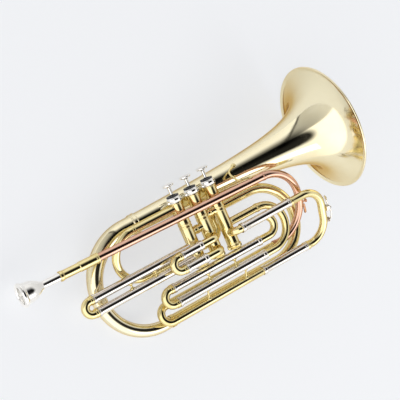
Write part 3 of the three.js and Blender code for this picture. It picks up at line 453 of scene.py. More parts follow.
def faces_of(surface: Surface, first: int) -> tuple[Array, list[list[int]]]:
    """The points and faces of one surface.

    A looped surface is all quads. An open one is closed at each end: by a fan where its end row is
    a single place, or by one flat face.

    Args:
        surface: the grid.
        first: the number of its first vertex in the mesh.

    Returns:
        Its points, and its faces as lists of vertex numbers.
    """
    grid = surface.points
    rows, columns = grid.shape[:2]
    index = np.arange(rows * columns).reshape(rows, columns)
    below = index if surface.looped else index[:-1]
    above = np.roll(index, -1, 0) if surface.looped else index[1:]
    quads = np.stack([below, np.roll(below, -1, 1), np.roll(above, -1, 1), above], -1).reshape(-1, 4)
    caps: list[list[int]] = []
    if not surface.looped:
        ends = ((index[0], grid[0], False), (index[-1], grid[-1], True))
        for numbers, places, last in ends:
            if np.ptp(places, axis=0).max() < 1e-6:
                quads = np.where(np.isin(quads, numbers), numbers[0], quads)
            else:
                caps.append((numbers if last else numbers[::-1]).tolist())
    points = grid.reshape(-1, 3)
    shifted = points[quads] - points.mean(0)
    volume = np.einsum("ij,ij->i", shifted[:, 0], np.cross(shifted[:, 1], shifted[:, 2])).sum()
    volume += np.einsum("ij,ij->i", shifted[:, 0], np.cross(shifted[:, 2], shifted[:, 3])).sum()
    if volume < 0:
        quads = quads[:, ::-1]
        caps = [cap[::-1] for cap in caps]
    faces = [list(dict.fromkeys(face)) for face in (quads + first).tolist()]
    faces = [face for face in faces if len(face) > 2]
    return points, faces + [[number + first for number in cap] for cap in caps]


def made_mesh(name: str, surfaces: Sequence[Surface]) -> bpy.types.Object:
    """One object from several surfaces, in the row frame, shaded smooth except at real edges.

    Args:
        name: the object's name.
        surfaces: the surfaces, each a closed skin.

    Returns:
        The object, at the origin and untransformed.
    """
    points: list[Array] = []
    faces: list[list[int]] = []
    count = 0
    for surface in surfaces:
        places, found = faces_of(surface, count)
        points.append(places)
        faces.extend(found)
        count += len(places)
    mesh = bpy.data.meshes.new(name)
    mesh.from_pydata(RESTING.to_row(np.concatenate(points)).tolist(), [], faces)
    mesh.polygons.foreach_set("use_smooth", np.ones(len(mesh.polygons), bool))
    used = np.zeros(count, bool)
    used[np.fromiter((v for face in faces for v in face), int)] = True
    mesh.validate()
    mesh.set_sharp_from_angle(angle=math.radians(SMOOTH_ANGLE))
    piece = bpy.data.objects.new(name, mesh)
    bpy.context.scene.collection.objects.link(piece)
    if not used.all():
        loose_removed(mesh, used)
    return piece


def loose_removed(mesh: bpy.types.Mesh, used: Array) -> None:
    """Takes out the spare vertices left where a row of the grid is a single place."""
    shape = bmesh.new()
    shape.from_mesh(mesh)
    shape.verts.ensure_lookup_table()
    spare = [shape.verts[int(i)] for i in np.flatnonzero(~used)]
    bmesh.ops.delete(shape, geom=spare, context="VERTS")
    shape.to_mesh(mesh)
    shape.free()


# Shared node groups


class Groups:
    """Shader node groups that several finishes share, each built once."""

    @staticmethod
    def start(name: str, inputs: dict[str, float | tuple], output: str,
              kind: str) -> tuple["NodeBench", bpy.types.Node, bpy.types.Node]:
        """Starts a group with named inputs, a Vector input and one output.

        Args:
            name: the group's name.
            inputs: default values by name; a tuple makes a colour.
            output: the output's name.
            kind: the output's socket type.

        Returns:
            The group's bench, its input node and its output node.
        """
        tree = bpy.data.node_groups.new(name, "ShaderNodeTree")
        tree.interface.new_socket("Vector", in_out="INPUT", socket_type="NodeSocketVector")
        for label, value in inputs.items():
            taken = "NodeSocketColor" if isinstance(value, tuple) else "NodeSocketFloat"
            socket = tree.interface.new_socket(label, in_out="INPUT", socket_type=taken)
            socket.default_value = value
        tree.interface.new_socket(output, in_out="OUTPUT", socket_type=kind)
        make = NodeBench(tree)
        return make, make("NodeGroupInput"), make("NodeGroupOutput")

    @staticmethod
    @cache
    def colour_drift() -> bpy.types.NodeTree:
        """Mixes two colours by broad noise and darkens fine specks: the slow drift of a lacquer."""
        colours = {"Main": (0.8, 0.8, 0.8, 1.0), "Deep": (0.5, 0.5, 0.5, 1.0)}
        make, take, give = Groups.start("colour drift", {**colours, "Scale": 14.0, "Amount": 0.5}, "Color",
                                        "NodeSocketColor")
        broad = make("ShaderNodeTexNoise", Detail=3.0, Roughness=0.55)
        fine = make("ShaderNodeTexNoise", Scale=900.0, Detail=2.0)
        share = make("ShaderNodeMapRange", From_Min=0.42, From_Max=0.68)
        specks = make("ShaderNodeMapRange", From_Min=0.66, From_Max=0.78)
        some, few, total = (make("ShaderNodeMath", operation=kind)
                            for kind in ("MULTIPLY", "MULTIPLY", "MAXIMUM"))
        mix = make("ShaderNodeMix", data_type="RGBA")
        few.inputs[1].default_value = 0.35
        make.wire((take, "Vector", broad, "Vector"), (take, "Vector", fine, "Vector"),
                  (take, "Scale", broad, "Scale"), (broad, "Fac", share, "Value"),
                  (fine, "Fac", specks, "Value"), (share, "Result", some, 0), (take, "Amount", some, 1),
                  (specks, "Result", few, 0), (some, 0, total, 0), (few, 0, total, 1),
                  (total, 0, mix, "Factor"), (take, "Main", mix, 6), (take, "Deep", mix, 7),
                  (mix, 2, give, "Color"))
        return make.tree

    @staticmethod
    @cache
    def handled_gloss() -> bpy.types.NodeTree:
        """Roughness between two values by smeared noise: wiped and handled metal."""
        make, take, give = Groups.start("handled gloss", {"Low": 0.08, "High": 0.2, "Scale": 30.0},
                                        "Roughness", "NodeSocketFloat")
        smear = make("ShaderNodeTexNoise", Detail=5.0, Roughness=0.62, Distortion=0.8)
        level = make("ShaderNodeMapRange", From_Min=0.35, From_Max=0.7)
        make.wire((take, "Vector", smear, "Vector"), (take, "Scale", smear, "Scale"),
                  (smear, "Fac", level, "Value"), (take, "Low", level, "To Min"),
                  (take, "High", level, "To Max"), (level, "Result", give, "Roughness"))
        return make.tree

    @staticmethod
    @cache
    def hand_worked() -> bpy.types.NodeTree:
        """A height made of slow waves and fine polishing marks: drawn and hand-buffed metal."""
        values = {"Waves": 1.0, "Marks": 0.2, "Wave Scale": 45.0, "Mark Scale": 700.0}
        make, take, give = Groups.start("hand worked", values, "Height", "NodeSocketFloat")
        waves = make("ShaderNodeTexNoise", Detail=1.0)
        marks = make("ShaderNodeTexNoise", Detail=3.0, Roughness=0.7)
        tall, small, total = (make("ShaderNodeMath", operation=kind)
                              for kind in ("MULTIPLY", "MULTIPLY", "ADD"))
        make.wire((take, "Vector", waves, "Vector"), (take, "Wave Scale", waves, "Scale"),
                  (take, "Vector", marks, "Vector"), (take, "Mark Scale", marks, "Scale"),
                  (waves, "Fac", tall, 0), (take, "Waves", tall, 1), (marks, "Fac", small, 0),
                  (take, "Marks", small, 1), (tall, 0, total, 0), (small, 0, total, 1),
                  (total, 0, give, "Height"))
        return make.tree


class NodeBench:
    """Adds and links nodes in one tree."""

    def __init__(self, tree: bpy.types.NodeTree) -> None:
        """Keeps the tree that nodes are added to."""
        self.tree = tree

    def __call__(self, kind: str, **settings: object) -> bpy.types.Node:
        """Adds a node and sets its properties, or its inputs by name.

        Args:
            kind: the node's type.
            settings: property names in lower case, or input names with _ for a space.

        Returns:
            The node.
        """
        node = self.tree.nodes.new(kind)
        for label, value in settings.items():
            if label[0].islower():
                setattr(node, label, value)
            else:
                node.inputs[label.replace("_", " ")].default_value = value
        return node

    def wire(self, *links: tuple[bpy.types.Node, str | int, bpy.types.Node, str | int]) -> None:
        """Joins outputs to inputs, each given as a node, its output, the next node and its input."""
        for source, output, target, entry in links:
            self.tree.links.new(source.outputs[output], target.inputs[entry])

    def group(self, tree: bpy.types.NodeTree, where: bpy.types.Node, **values: object) -> bpy.types.Node:
        """Places a shared group fed by the Object coordinates, with its values by name."""
        node = self("ShaderNodeGroup", node_tree=tree, **values)
        self.wire((where, "Object", node, "Vector"))
        return node


def blank_material(name: str) -> tuple[bpy.types.Material, NodeBench]:
    """A material with an empty tree, and the bench that fills it."""
    made = bpy.data.materials.new(name)
    made.use_nodes = True
    made.node_tree.nodes.clear()
    return made, NodeBench(made.node_tree)


# Finishes


@dataclass(frozen=True)
class Metal:
    """A polished metal, with or without a clear lacquer."""

    slot: str
    colour: tuple[float, float, float, float]
    deep: tuple[float, float, float, float]
    drift: float = 0.5
    gloss: tuple[float, float] = (0.07, 0.2)
    lacquer: float = 0.0
    waves: float = 1.0
    marks: float = 0.15
    bump: float = 0.12
    depth: float = 0.0006
    coat_gloss: float = 0.06
    # edge is the tint of reflections at grazing angles. On the brass and rose-brass finishes it is a dark
    # amber: partly the brasses' own warm edge colour, partly a painted reflection of the shade beneath the
    # bell, which the bell's far rim shows as amber crescents.
    edge: tuple[float, float, float, float] = (1.0, 1.0, 1.0, 1.0)

    def material(self) -> bpy.types.Material:
        """Builds the metal from the shared groups.

        Returns:
            The material, on Object coordinates.
        """
        made, make = blank_material(self.slot)
        where, out = make("ShaderNodeTexCoord"), make("ShaderNodeOutputMaterial")
        shader = make("ShaderNodeBsdfPrincipled", Metallic=1.0, Coat_Weight=self.lacquer,
                      Coat_Roughness=self.coat_gloss, Specular_Tint=self.edge)
        colour = make.group(Groups.colour_drift(), where, Main=self.colour, Deep=self.deep,
                            Amount=self.drift)
        gloss = make.group(Groups.handled_gloss(), where, Low=self.gloss[0], High=self.gloss[1])
        worked = make.group(Groups.hand_worked(), where, Waves=self.waves, Marks=self.marks)
        bump = make("ShaderNodeBump", Strength=self.bump, Distance=self.depth)
        make.wire((colour, "Color", shader, "Base Color"), (gloss, "Roughness", shader, "Roughness"),
                  (worked, "Height", bump, "Height"), (bump, "Normal", shader, "Normal"),
                  (shader, "BSDF", out, "Surface"))
        return made


@dataclass(frozen=True)
class Soft:
    """A matt fibre or cork: pressed felt, or natural cork with its dark grains."""

    slot: str
    colour: tuple[float, float, float, float]
    deep: tuple[float, float, float, float]
    grain: float
    sheen: float = 0.0
    rough: tuple[float, float] = (0.82, 0.97)

    def material(self) -> bpy.types.Material:
        """Builds the fibre or cork.

        Returns:
            The material, on Object coordinates.
        """
        made, make = blank_material(self.slot)
        where, out = make("ShaderNodeTexCoord"), make("ShaderNodeOutputMaterial")
        shader = make("ShaderNodeBsdfPrincipled", Sheen_Weight=self.sheen)
        cells = make("ShaderNodeTexVoronoi", Scale=self.grain)
        spread = make("ShaderNodeMapRange", From_Min=0.1, From_Max=0.75)
        mix = make("ShaderNodeMix", data_type="RGBA")
        gloss = make.group(Groups.handled_gloss(), where, Low=self.rough[0], High=self.rough[1],
                           Scale=300.0)
        worked = make.group(Groups.hand_worked(), where, Waves=0.6, Marks=1.0, Wave_Scale=self.grain,
                            Mark_Scale=self.grain * 3)
        bump = make("ShaderNodeBump", Strength=0.5, Distance=0.0003)
        mix.inputs[6].default_value, mix.inputs[7].default_value = self.deep, self.colour
        make.wire((where, "Object", cells, "Vector"), (cells, "Distance", spread, "Value"),
                  (spread, "Result", mix, "Factor"), (mix, 2, shader, "Base Color"),
                  (gloss, "Roughness", shader, "Roughness"), (worked, "Height", bump, "Height"),
                  (bump, "Normal", shader, "Normal"), (shader, "BSDF", out, "Surface"))
        return made


class Finish(Enum):
    """Every finish on the instrument."""

    # BRASS and the paler brass below are lit and shaded copies of one lacquered brass. The paler one, on
    # the bell and tail bow, is painted light for the bell's bright, washed-out reflections. BRASS is deeper
    # and more saturated: painted shade, leaning to the amber of the tubes' shaded undersides.
    BRASS = Metal("lacquered_brass", (0.84, 0.73, 0.39, 1), (0.7, 0.56, 0.23, 1), 0.5, (0.08, 0.18), 0.4,
                  edge=(0.6, 0.36, 0.05, 1))
    PAINTED_LIGHT_BRASS = Metal("lacquered_brass", (0.88, 0.81, 0.58, 1), (0.78, 0.68, 0.42, 1), 0.5, (0.07, 0.16),
                       0.4, edge=(0.6, 0.36, 0.04, 1))
    ROSE = Metal("rose_brass", (0.7, 0.43, 0.32, 1), (0.52, 0.27, 0.18, 1), 0.5, (0.08, 0.18), 0.4,
                 edge=(0.6, 0.3, 0.1, 1))
    NICKEL = Metal("nickel_silver", (0.78, 0.74, 0.69, 1), (0.62, 0.58, 0.53, 1), 0.4, (0.06, 0.16))
    SILVER = Metal("silver_plate", (0.9, 0.89, 0.87, 1), (0.74, 0.73, 0.7, 1), 0.4, (0.06, 0.18))
    STEEL = Metal("spring_steel", (0.56, 0.55, 0.54, 1), (0.36, 0.35, 0.34, 1), 0.6, (0.25, 0.42),
                  marks=0.5)
    FELT = Soft("black_felt", (0.03, 0.03, 0.033, 1), (0.012, 0.012, 0.014, 1), 1800.0, 0.3)
    CORK = Soft("cork", (0.62, 0.42, 0.24, 1), (0.24, 0.13, 0.06, 1), 900.0)


class Dresser:
    """Turns surfaces into finished pieces that ride on their bodies."""

    def __init__(self) -> None:
        """Builds one material for each finish."""
        self.materials = {finish: finish.value.material() for finish in Finish}
        self.made = 0

    def dress(self, name: str, surfaces: Sequence[Surface], finish: Finish, *stands_for: str,
              body: Body = Body.INSTRUMENT) -> bpy.types.Object:
        """Makes one piece.

        Args:
            name: the piece's name.
            surfaces: its skins.
            finish: its finish.
            stands_for: the CAD nodes that it replaces.
            body: the body it rides on.

        Returns:
            The piece.
        """
        piece = made_mesh(name, surfaces)
        piece.data.materials.append(self.materials[finish])
        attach(piece, body.value)
        if stands_for:
            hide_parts(*stands_for)
        self.made += 1
        LOG.info("%s: %d faces, %s", name, len(piece.data.polygons), finish.value.slot)
        return piece

    def keep(self, nodes: Sequence[str], finish: Finish) -> None:
        """Gives CAD nodes that stay in view their finish."""
        for node in nodes:
            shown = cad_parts[node]
            shown.data.materials.clear()
            shown.data.materials.append(self.materials[finish])


# Sizes that several parts share


@dataclass(frozen=True)
class Stock:
    """Tube stock, clearances, ring sizes and how deep a tube's end stands in the next one."""

    gap: float = 0.3
    tube: float = 6.35
    tube_bore: float = 5.55
    sleeve: float = 7.0
    sleeve_bore: float = 6.2
    leg: float = 5.9
    leg_bore: float = 5.2
    crook: float = 6.6
    ring: float = 4.5
    ring_height: float = 0.9
    socket: float = 6.0
    sleeve_seat: float = 5.7
    socket_seat: float = 5.2
    elbow: float = 11.2
    casing: float = 10.3
    valve_plane: float = 33.0
    main_lower: tuple[float, float] = (-160.0, 20.0)
    main_lower_start: float = -223.0
    third_valve: float = -258.2
    valve_spacing: float = 32.6

    def valve_x(self, valve: int) -> float:
        """X of a valve's axis, the valves numbered from 0."""
        return self.third_valve - (2 - valve) * self.valve_spacing

    def on_casing(self) -> Seat:
        """The seat of a tube that butts against a casing."""
        return Seat(self.casing)


STOCK = Stock()


def butted(length: float, radius: float, bore: float, end: Marks | None = None, second: bool = False,
           fillet: float = 0.7) -> tuple[Marks, Marks]:
    """Marks of a tube whose first end, or both ends, sink into a casing with a solder fillet.

    Args:
        length: the path's length, measured from the valve's axis.
        radius: the tube's outer radius.
        bore: its bore radius.
        end: marks of the free end in place of a plain one.
        second: whether the far end butts as well.
        fillet: the fillet's height.

    Returns:
        The outer marks and the bore marks.
    """
    root = STOCK.casing - 0.5
    near = [(root, radius + fillet), (root + 0.8, radius + fillet * 0.8),
            (root + 1.3, radius + fillet * 0.25), (root + 2.1, radius)]
    far = mirrored(near, length) if second else (end or [(length, radius)])
    last = length - root if second else length
    return [*near, *far], [(root, bore), (last, bore)]


def socketed(length: float, radius: float, bore: float, mouth: float,
             height: float = 0.6) -> tuple[Marks, Marks]:
    """Marks of a tube's last stretch, widened to hold the next tube, with a ring at its mouth."""
    wide = mouth + height
    start = length - STOCK.socket
    outer = [(start - 0.8, radius), (start, wide), (length - 1.4, wide), (length - 1.2, wide + 0.35),
             (length, wide + 0.35)]
    return outer, [(start + 0.5, bore), (start + 0.7, mouth), (length, mouth)]


# Sub-assemblies


@dataclass
class BellTail:
    """The bell, its tail bow, the neck tubing that feeds it and the brace on its flank."""

    dresser: Dresser
    rim: float = 109.5
    axis_y: float = 2.6
    length: float = 392.0
    flare: float = 20.0
    power: float = 0.66
    wall: float = 1.0
    bead: float = 1.9
    bow_x: float = -407.5
    bow_radius: float = 82.8
    bow_end: float = 9.2
    ferrule_length: float = 9.0
    neck: float = 8.0
    neck_wall: float = 0.9
    neck_bow_x: float = -180.0
    neck_top: float = -36.5
    riser_x: float = -262.0
    riser_bend: float = 20.4
    neck_end: float = -397.0
    exit_bow_x: float = -448.5
    exit_lower: tuple[float, float] = (-78.0, 10.0)
    exit_end: float = -300.0
    brace_x: float = -197.0
    brace_wire: float = 1.65
    brace_slant: float = 3.5
    brace_turn: float = 0.62
    brace_reach: float = 19.0

    @property
    def low_y(self) -> float:
        """Height of the tail bow's lower run."""
        return self.axis_y - 2 * self.bow_radius

    def flare_radius(self, behind: Array | float) -> Array | float:
        """Bell radius behind the rim: rim (flare / (flare + behind)) ^ power."""
        return self.rim * (self.flare / (self.flare + behind)) ** self.power

    def bell(self) -> None:
        """Turns the bell about X with its rolled rim."""
        share = np.linspace(0.0, 1.0, 110)
        behind = self.bead + (self.length - self.bead) * share**2.2
        radius = self.flare_radius(behind)
        slope = -self.power * radius / (self.flare + behind)
        stretch = np.hypot(1, slope)
        outside = np.stack([behind, radius], 1)
        inside = np.stack([behind + self.wall * slope / stretch, radius - self.wall / stretch], 1)
        angle = np.linspace(-0.36 * math.pi, math.pi, 22)
        bead = np.stack([self.bead - self.bead * np.sin(angle),
                         self.rim - self.bead + self.bead * np.cos(angle)], 1)
        outline = np.concatenate([outside[1:][::-1], bead, inside[1:]])
        y = self.axis_y
        line = Path(np.array([[0.0, y, 0], [-self.length, y, 0]]), np.array([-X, -X]))
        # The bell takes the paler brass: painted light for its bright, washed-out reflections.
        self.dresser.dress("bell_flare", [swept(line, outline, True, 176, Z)], Finish.PAINTED_LIGHT_BRASS, "bell")

    def tail_bow(self) -> None:
        """Bends the tapered tail bow, with the ferrule that takes the bell's tail."""
        start, far = -self.length + self.ferrule_length, self.bow_x - self.bow_radius
        high, drop = self.axis_y, self.low_y
        path = bent_path([(start, high, 0), (far, high, 0), (far, drop, 0),
                          (self.neck_end - STOCK.gap, drop, 0)], self.bow_radius, 34)
        tail = float(self.flare_radius(self.length))
        mouth, span = tail + STOCK.gap, self.ferrule_length
        ring = mouth + self.wall
        outer = [(0.0, ring), (0.7, ring + 0.5), (1.7, ring + 0.5), (2.1, ring), (span - 2.1, ring),
                 (span - 1.7, ring + 0.5), (span - 0.7, ring + 0.5), (span, ring), (span + 0.6, tail + 0.1),
                 (path.length, self.bow_end)]
        bore = [(0.0, mouth), (span, mouth), (span + 0.5, tail - self.wall),
                (path.length, self.bow_end - self.wall)]
        # The tail bow takes the paler brass: painted light, as on the bell.
        self.dresser.dress("tail_bow", [hollow(path, outer, bore, sides=56)], Finish.PAINTED_LIGHT_BRASS, "bell_bow")

    def neck_tube(self) -> None:
        """Bends the widening neck tube: riser, upper run and front bow."""
        bend = (self.neck_top - self.low_y) / 2
        low_y, low_z = self.exit_lower
        riser = bent_path([(self.exit_end, low_y, low_z), (self.riser_x, low_y, low_z),
                           (self.riser_x, self.neck_top, 0), (self.neck_bow_x, self.neck_top, 0)],
                          self.riser_bend, 14)
        far, drop = self.neck_bow_x + bend, self.low_y
        bow = bent_path([(self.neck_bow_x, self.neck_top, 0), (far, self.neck_top, 0), (far, drop, 0),
                         (self.neck_end, drop, 0)], bend, 34)
        path = joined(riser, bow)
        length, wide = path.length, self.bow_end
        outer_end, bore_end = socketed(length, wide, wide - self.neck_wall, wide + STOCK.gap)
        outer = [(0.0, STOCK.tube), (length / 4, self.neck), *outer_end]
        bore = [(0.0, STOCK.tube_bore), (length / 4, self.neck - self.neck_wall), *bore_end]
        self.dresser.dress("neck_tubing", [hollow(path, outer, bore, sides=48)], Finish.BRASS, "neck_tube")

    def exit_tube(self) -> None:
        """Bends the first valve's exit tube back to the riser."""
        low_y, low_z = self.exit_lower
        plane = STOCK.valve_plane
        bend = math.hypot(low_y, low_z - plane) / 2
        path = bent_path([(STOCK.valve_x(0), 0, plane), (self.exit_bow_x, 0, plane),
                          (self.exit_bow_x, low_y, low_z),
                          (self.exit_end + STOCK.socket_seat, low_y, low_z)], bend, 30)
        run = STOCK.valve_x(0) - self.exit_bow_x - bend
        outer_end, bore_end = socketed(path.length, STOCK.tube, STOCK.tube_bore, STOCK.tube + STOCK.gap)
        outer, bore = butted(path.length, STOCK.tube, STOCK.tube_bore,
                             [*ferrule(run - STOCK.ring, STOCK.ring, STOCK.tube), *outer_end])
        self.dresser.dress("exit_tubing",
                           [hollow(path, outer, [bore[0], *bore_end], up=Y, start=STOCK.on_casing())],
                           Finish.BRASS, "exit_tube")

    def flank_brace(self, lead: "LeadSide") -> None:
        """Bends the brace that bulges towards the player, with a round foot at each end."""
        reach = float(self.flare_radius(-self.brace_x)) + STOCK.gap + self.brace_wire
        out = np.array([0.0, math.sin(self.brace_turn), math.cos(self.brace_turn)])
        foot = np.array([self.brace_x, self.axis_y, 0.0]) + reach * out
        head = lead.along(self.brace_x + self.brace_slant - lead.start[0])
        head[1] += STOCK.tube + STOCK.gap + self.brace_wire
        low, high = foot + (head - foot) / 3, foot + (head - foot) * 5 / 6
        low[0] -= self.brace_reach
        high[0] -= self.brace_reach
        low[1] += self.brace_wire
        path = eased_path([foot, low, high, head])
        feet = [turned([(-1.9, 0), (-1.9, 4.2), (-1.1, 4.2), (0.2, 2.4), (0.9, 0)], foot, out, False, 0.3,
                       32), turned([(-1.7, 0), (-1.7, 3.4), (-1.0, 3.4), (0.2, 2.2), (0.9, 0)], head, Y,
                                   False, 0.3, 32)]
        self.dresser.dress("flank_brace", [rod(path, self.brace_wire, up=Z), *feet], Finish.BRASS,
                           "bell_brace")

    def build(self, lead: "LeadSide") -> None:
        """Builds the whole sub-assembly."""
        self.bell()
        self.tail_bow()
        self.neck_tube()
        self.exit_tube()
        self.flank_brace(lead)


@dataclass
class LeadSide:
    """Mouthpiece, receiver, rose-brass leadpipe with its front crook, and the return tube."""

    dresser: Dresser
    start: tuple[float, float, float] = (-509.0, -9.0, 50.4)
    end_y: float = -17.5
    crook_x: float = -114.5
    crook_share: float = 0.488
    rest_share: float = 0.62
    rest_length: float = 9.0
    rest_drop: float = 12.0
    back: tuple[float, float] = (-133.0, 14.0)
    back_start: float = -182.0
    back_bow: float = -414.0
    receiver_length: float = 50.0
    receiver_overlap: float = 12.0
    receiver_front: float = 28.0
    receiver: float = 7.05
    mouthpiece_length: float = 79.0
    mouthpiece_rim: float = 19.2
    cup_depth: float = 33.0
    throat: float = 3.4
    shank: float = 6.0
    insertion: float = 13.0
    strut_places: tuple[float, float] = (-330.0, -255.0)
    strut_top: float = -134.0

    @property
    def direction(self) -> Array:
        """The leadpipe's direction, falling slightly to the front."""
        return unit(np.array([self.crook_x - self.start[0], self.end_y - self.start[1], 0.0]))

    def along(self, distance: float) -> Array:
        """A point on the leadpipe's centre line, from its start."""
        return np.array(self.start) + self.direction * distance

    def leadpipe(self) -> None:
        """Bends the leadpipe and its front crook from one rose-brass tube."""
        plane = self.start[2]
        bend = math.hypot(self.end_y - self.back[0], plane - self.back[1]) * self.crook_share
        path = bent_path([self.start, (self.crook_x, self.end_y, plane), (self.crook_x, *self.back),
                          (self.back_start, *self.back)], bend, 36)
        run = self.crook_x - self.start[0] - bend
        outer_end, bore_end = socketed(path.length, STOCK.tube, STOCK.tube_bore, STOCK.tube + STOCK.gap)
        outer = [(0.0, STOCK.tube), *ferrule(run, STOCK.ring, STOCK.tube, 0.7), *outer_end]
        self.dresser.dress("leadpipe_and_crook",
                           [hollow(path, outer, [(0.0, STOCK.tube_bore), *bore_end]), *self.crook_rest()],
                           Finish.ROSE, "leadpipe", "leadpipe_crook")

    def crook_rest(self) -> list[Surface]:
        """Builds the small plate and stud on the crook's front side."""
        top, foot = (np.array([self.crook_x, *place]) for place in ((self.end_y, self.start[2]), self.back))
        way = unit(foot - top)
        middle = top + (foot - top) * self.rest_share
        side = np.cross(way, X)
        bar = [(-self.rest_length, STOCK.tube - 0.8), (self.rest_length, STOCK.tube - 0.8),
               (self.rest_length - 1.5, STOCK.tube + 2.2), (1.5 - self.rest_length, STOCK.tube + 2.2)]
        stud = placed(STOCK.tube, 0.0, (-0.5, 0.0), (-0.5, 2.0), (4.6, 1.6), (5.0, 3.4), (6.6, 3.4),
                      (7.0, 2.6), (7.0, 0.0))
        return [plate(bar, 3.6, middle + way * self.rest_drop, (way, X), 0.4),
                turned(stud, middle, X, False, 0.3, 36, side)]

    def mouth_receiver(self) -> None:
        """Turns the receiver with its ringed ends."""
        bore, over = STOCK.tube + 0.15, self.receiver_front
        wide, waist = 7.8, self.receiver
        mouth = self.receiver_overlap - self.receiver_length
        marks = [(over, bore), *placed(over, wide, (0, 0.45), (-1.3, 0.45), (-1.6, 0), (-3.2, 0),
                                       (-3.4, 0.35), (-4.5, 0.35), (-4.8, 0)), (-4.5, wide), (-5.5, waist),
                 *placed(mouth, waist, (6.0, 0), (5.6, 0.4), (4.8, 0.4), (4.5, 0), (4.1, 0.9), (0, 0.9)),
                 (mouth, 6.7), *placed(mouth + self.insertion, 0.0, (0.6, 6.3), (1.1, STOCK.tube_bore)),
                 (-0.8, STOCK.tube_bore), (-0.3, bore)]
        self.dresser.dress("receiver", [turned(marks, self.along(0), self.direction)], Finish.BRASS,
                           "mouthpiece_receiver")

    def mouthpiece(self) -> None:
        """Turns the silver mouthpiece: rim, cup, throat, backbore and shank."""
        tip = self.receiver_overlap - self.receiver_length + self.insertion
        rim = tip - self.mouthpiece_length
        cup = rim + self.cup_depth
        edge = self.mouthpiece_rim
        marks = [(cup, self.throat), (tip, 4.2), (tip, self.shank),
                 (tip - self.insertion, self.shank + 0.4),
                 *placed(cup, 0.0, (13, self.shank + 0.3), (7, self.shank), (4.2, 6.2), (1.5, 7.6),
                         (-1.5, 9.6), (-5, 11.6), (-9, 13.6), (-13, 15.0), (-17, 15.9)),
                 *placed(rim, 0.0, (9.5, 16.4), (8, 16.7), (6.6, 17.8), (5.2, edge - 0.2), (3.2, edge),
                         (1.2, edge - 0.5), (0.2, edge - 2.2), (0, edge - 3.6), (0.3, 14.6), (1.6, 13.4),
                         (4.5, 13.0), (14, 12.4), (22, 10.4), (28, 7.2))]
        self.dresser.dress("silver_mouthpiece",
                           [turned(marks, self.along(0), self.direction, soft=1.2, sides=96)],
                           Finish.SILVER, "mouthpiece", body=Body.MOUTHPIECE)

    def return_tube(self) -> None:
        """Bends the return tube under the slides to the main slide, with its two struts."""
        low_y, low_z = STOCK.main_lower
        bend = math.hypot(self.back[0] - low_y, self.back[1] - low_z) / 2
        path = bent_path([(self.back_start + STOCK.socket_seat, *self.back), (self.back_bow, *self.back),
                          (self.back_bow, low_y, low_z),
                          (STOCK.main_lower_start + STOCK.sleeve_seat, low_y, low_z)], bend, 24)
        struts = [strut(x, (low_y, low_z, STOCK.tube), (self.strut_top, STOCK.valve_plane, STOCK.sleeve))
                  for x in self.strut_places]
        self.dresser.dress("return_tubing", [pipe(path, STOCK.tube, STOCK.tube_bore, up=X + Z), *struts],
                           Finish.BRASS, "return_tube")

    def build(self) -> None:
        """Builds the whole sub-assembly."""
        self.leadpipe()
        self.mouth_receiver()
        self.mouthpiece()
        self.return_tube()


def strut(x: float, first: tuple[float, float, float], second: tuple[float, float, float]) -> Surface:
    """A turned strut between two tubes along X, each end a flange that follows its tube.

    Args:
        x: the strut's place along the tubes.
        first: y, z and radius of the first tube.
        second: y, z and radius of the second tube.

    Returns:
        The strut.
    """
    a, b = np.array([x, *first[:2]]), np.array([x, *second[:2]])
    way = unit(b - a)
    path = Path(np.array([a, b]), np.array([way, way]))
    low, high = first[2] - 0.1, path.length - second[2] + 0.1
    middle = (low + high) / 2
    near = [(low, 0.0), (low, 4.0), (low + 0.9, 3.9), (low + 1.3, 2.7), (low + 2.0, 1.9), (low + 2.6, 1.6)]
    waist = [(middle - 1.0, 1.6), (middle - 0.6, 2.0), (middle + 0.6, 2.0), (middle + 1.0, 1.6)]
    far = [(high - (s - low), r) for s, r in reversed(near)]
    marks = [*near, *(waist if high - low > 8 else []), *far]
    return swept(path, softened(marks, 0.3, False), False, 36, X, Seat(first[2]), Seat(second[2]))


def sleeve(root: float, opening: float, y: float, z: float) -> Surface:
    """A straight outer slide tube: a ring over the plain tube at its root, a ferrule at its mouth."""
    path = straight(root, opening, y, z)
    radius, high = STOCK.sleeve, STOCK.sleeve + STOCK.ring_height
    outer = [(0.0, high), (1.2, high), (1.4, high - 0.35), (2.0, high - 0.35), (2.2, high),
             (STOCK.socket, high), (STOCK.socket + 0.6, radius),
             *mirrored(ferrule(0.0, STOCK.ring, radius)[1:], path.length)]
    bore = [(0.0, STOCK.tube + 0.15), (STOCK.socket, STOCK.tube + 0.15),
            (STOCK.socket + 0.5, STOCK.sleeve_bore), (path.length, STOCK.sleeve_bore)]
    return hollow(path, outer, bore)


def front_elbow(valve: int, y: float, z: float, end: float) -> Surface:
    """A tube from a valve's front that turns to run along X."""
    x, plane = STOCK.valve_x(valve), STOCK.valve_plane
    path = bent_path([(x, y, plane), (x, y, z), (end, y, z)], STOCK.elbow, 22)
    outer, bore = butted(path.length, STOCK.tube, STOCK.tube_bore)
    return hollow(path, outer, bore, up=Y, start=STOCK.on_casing())


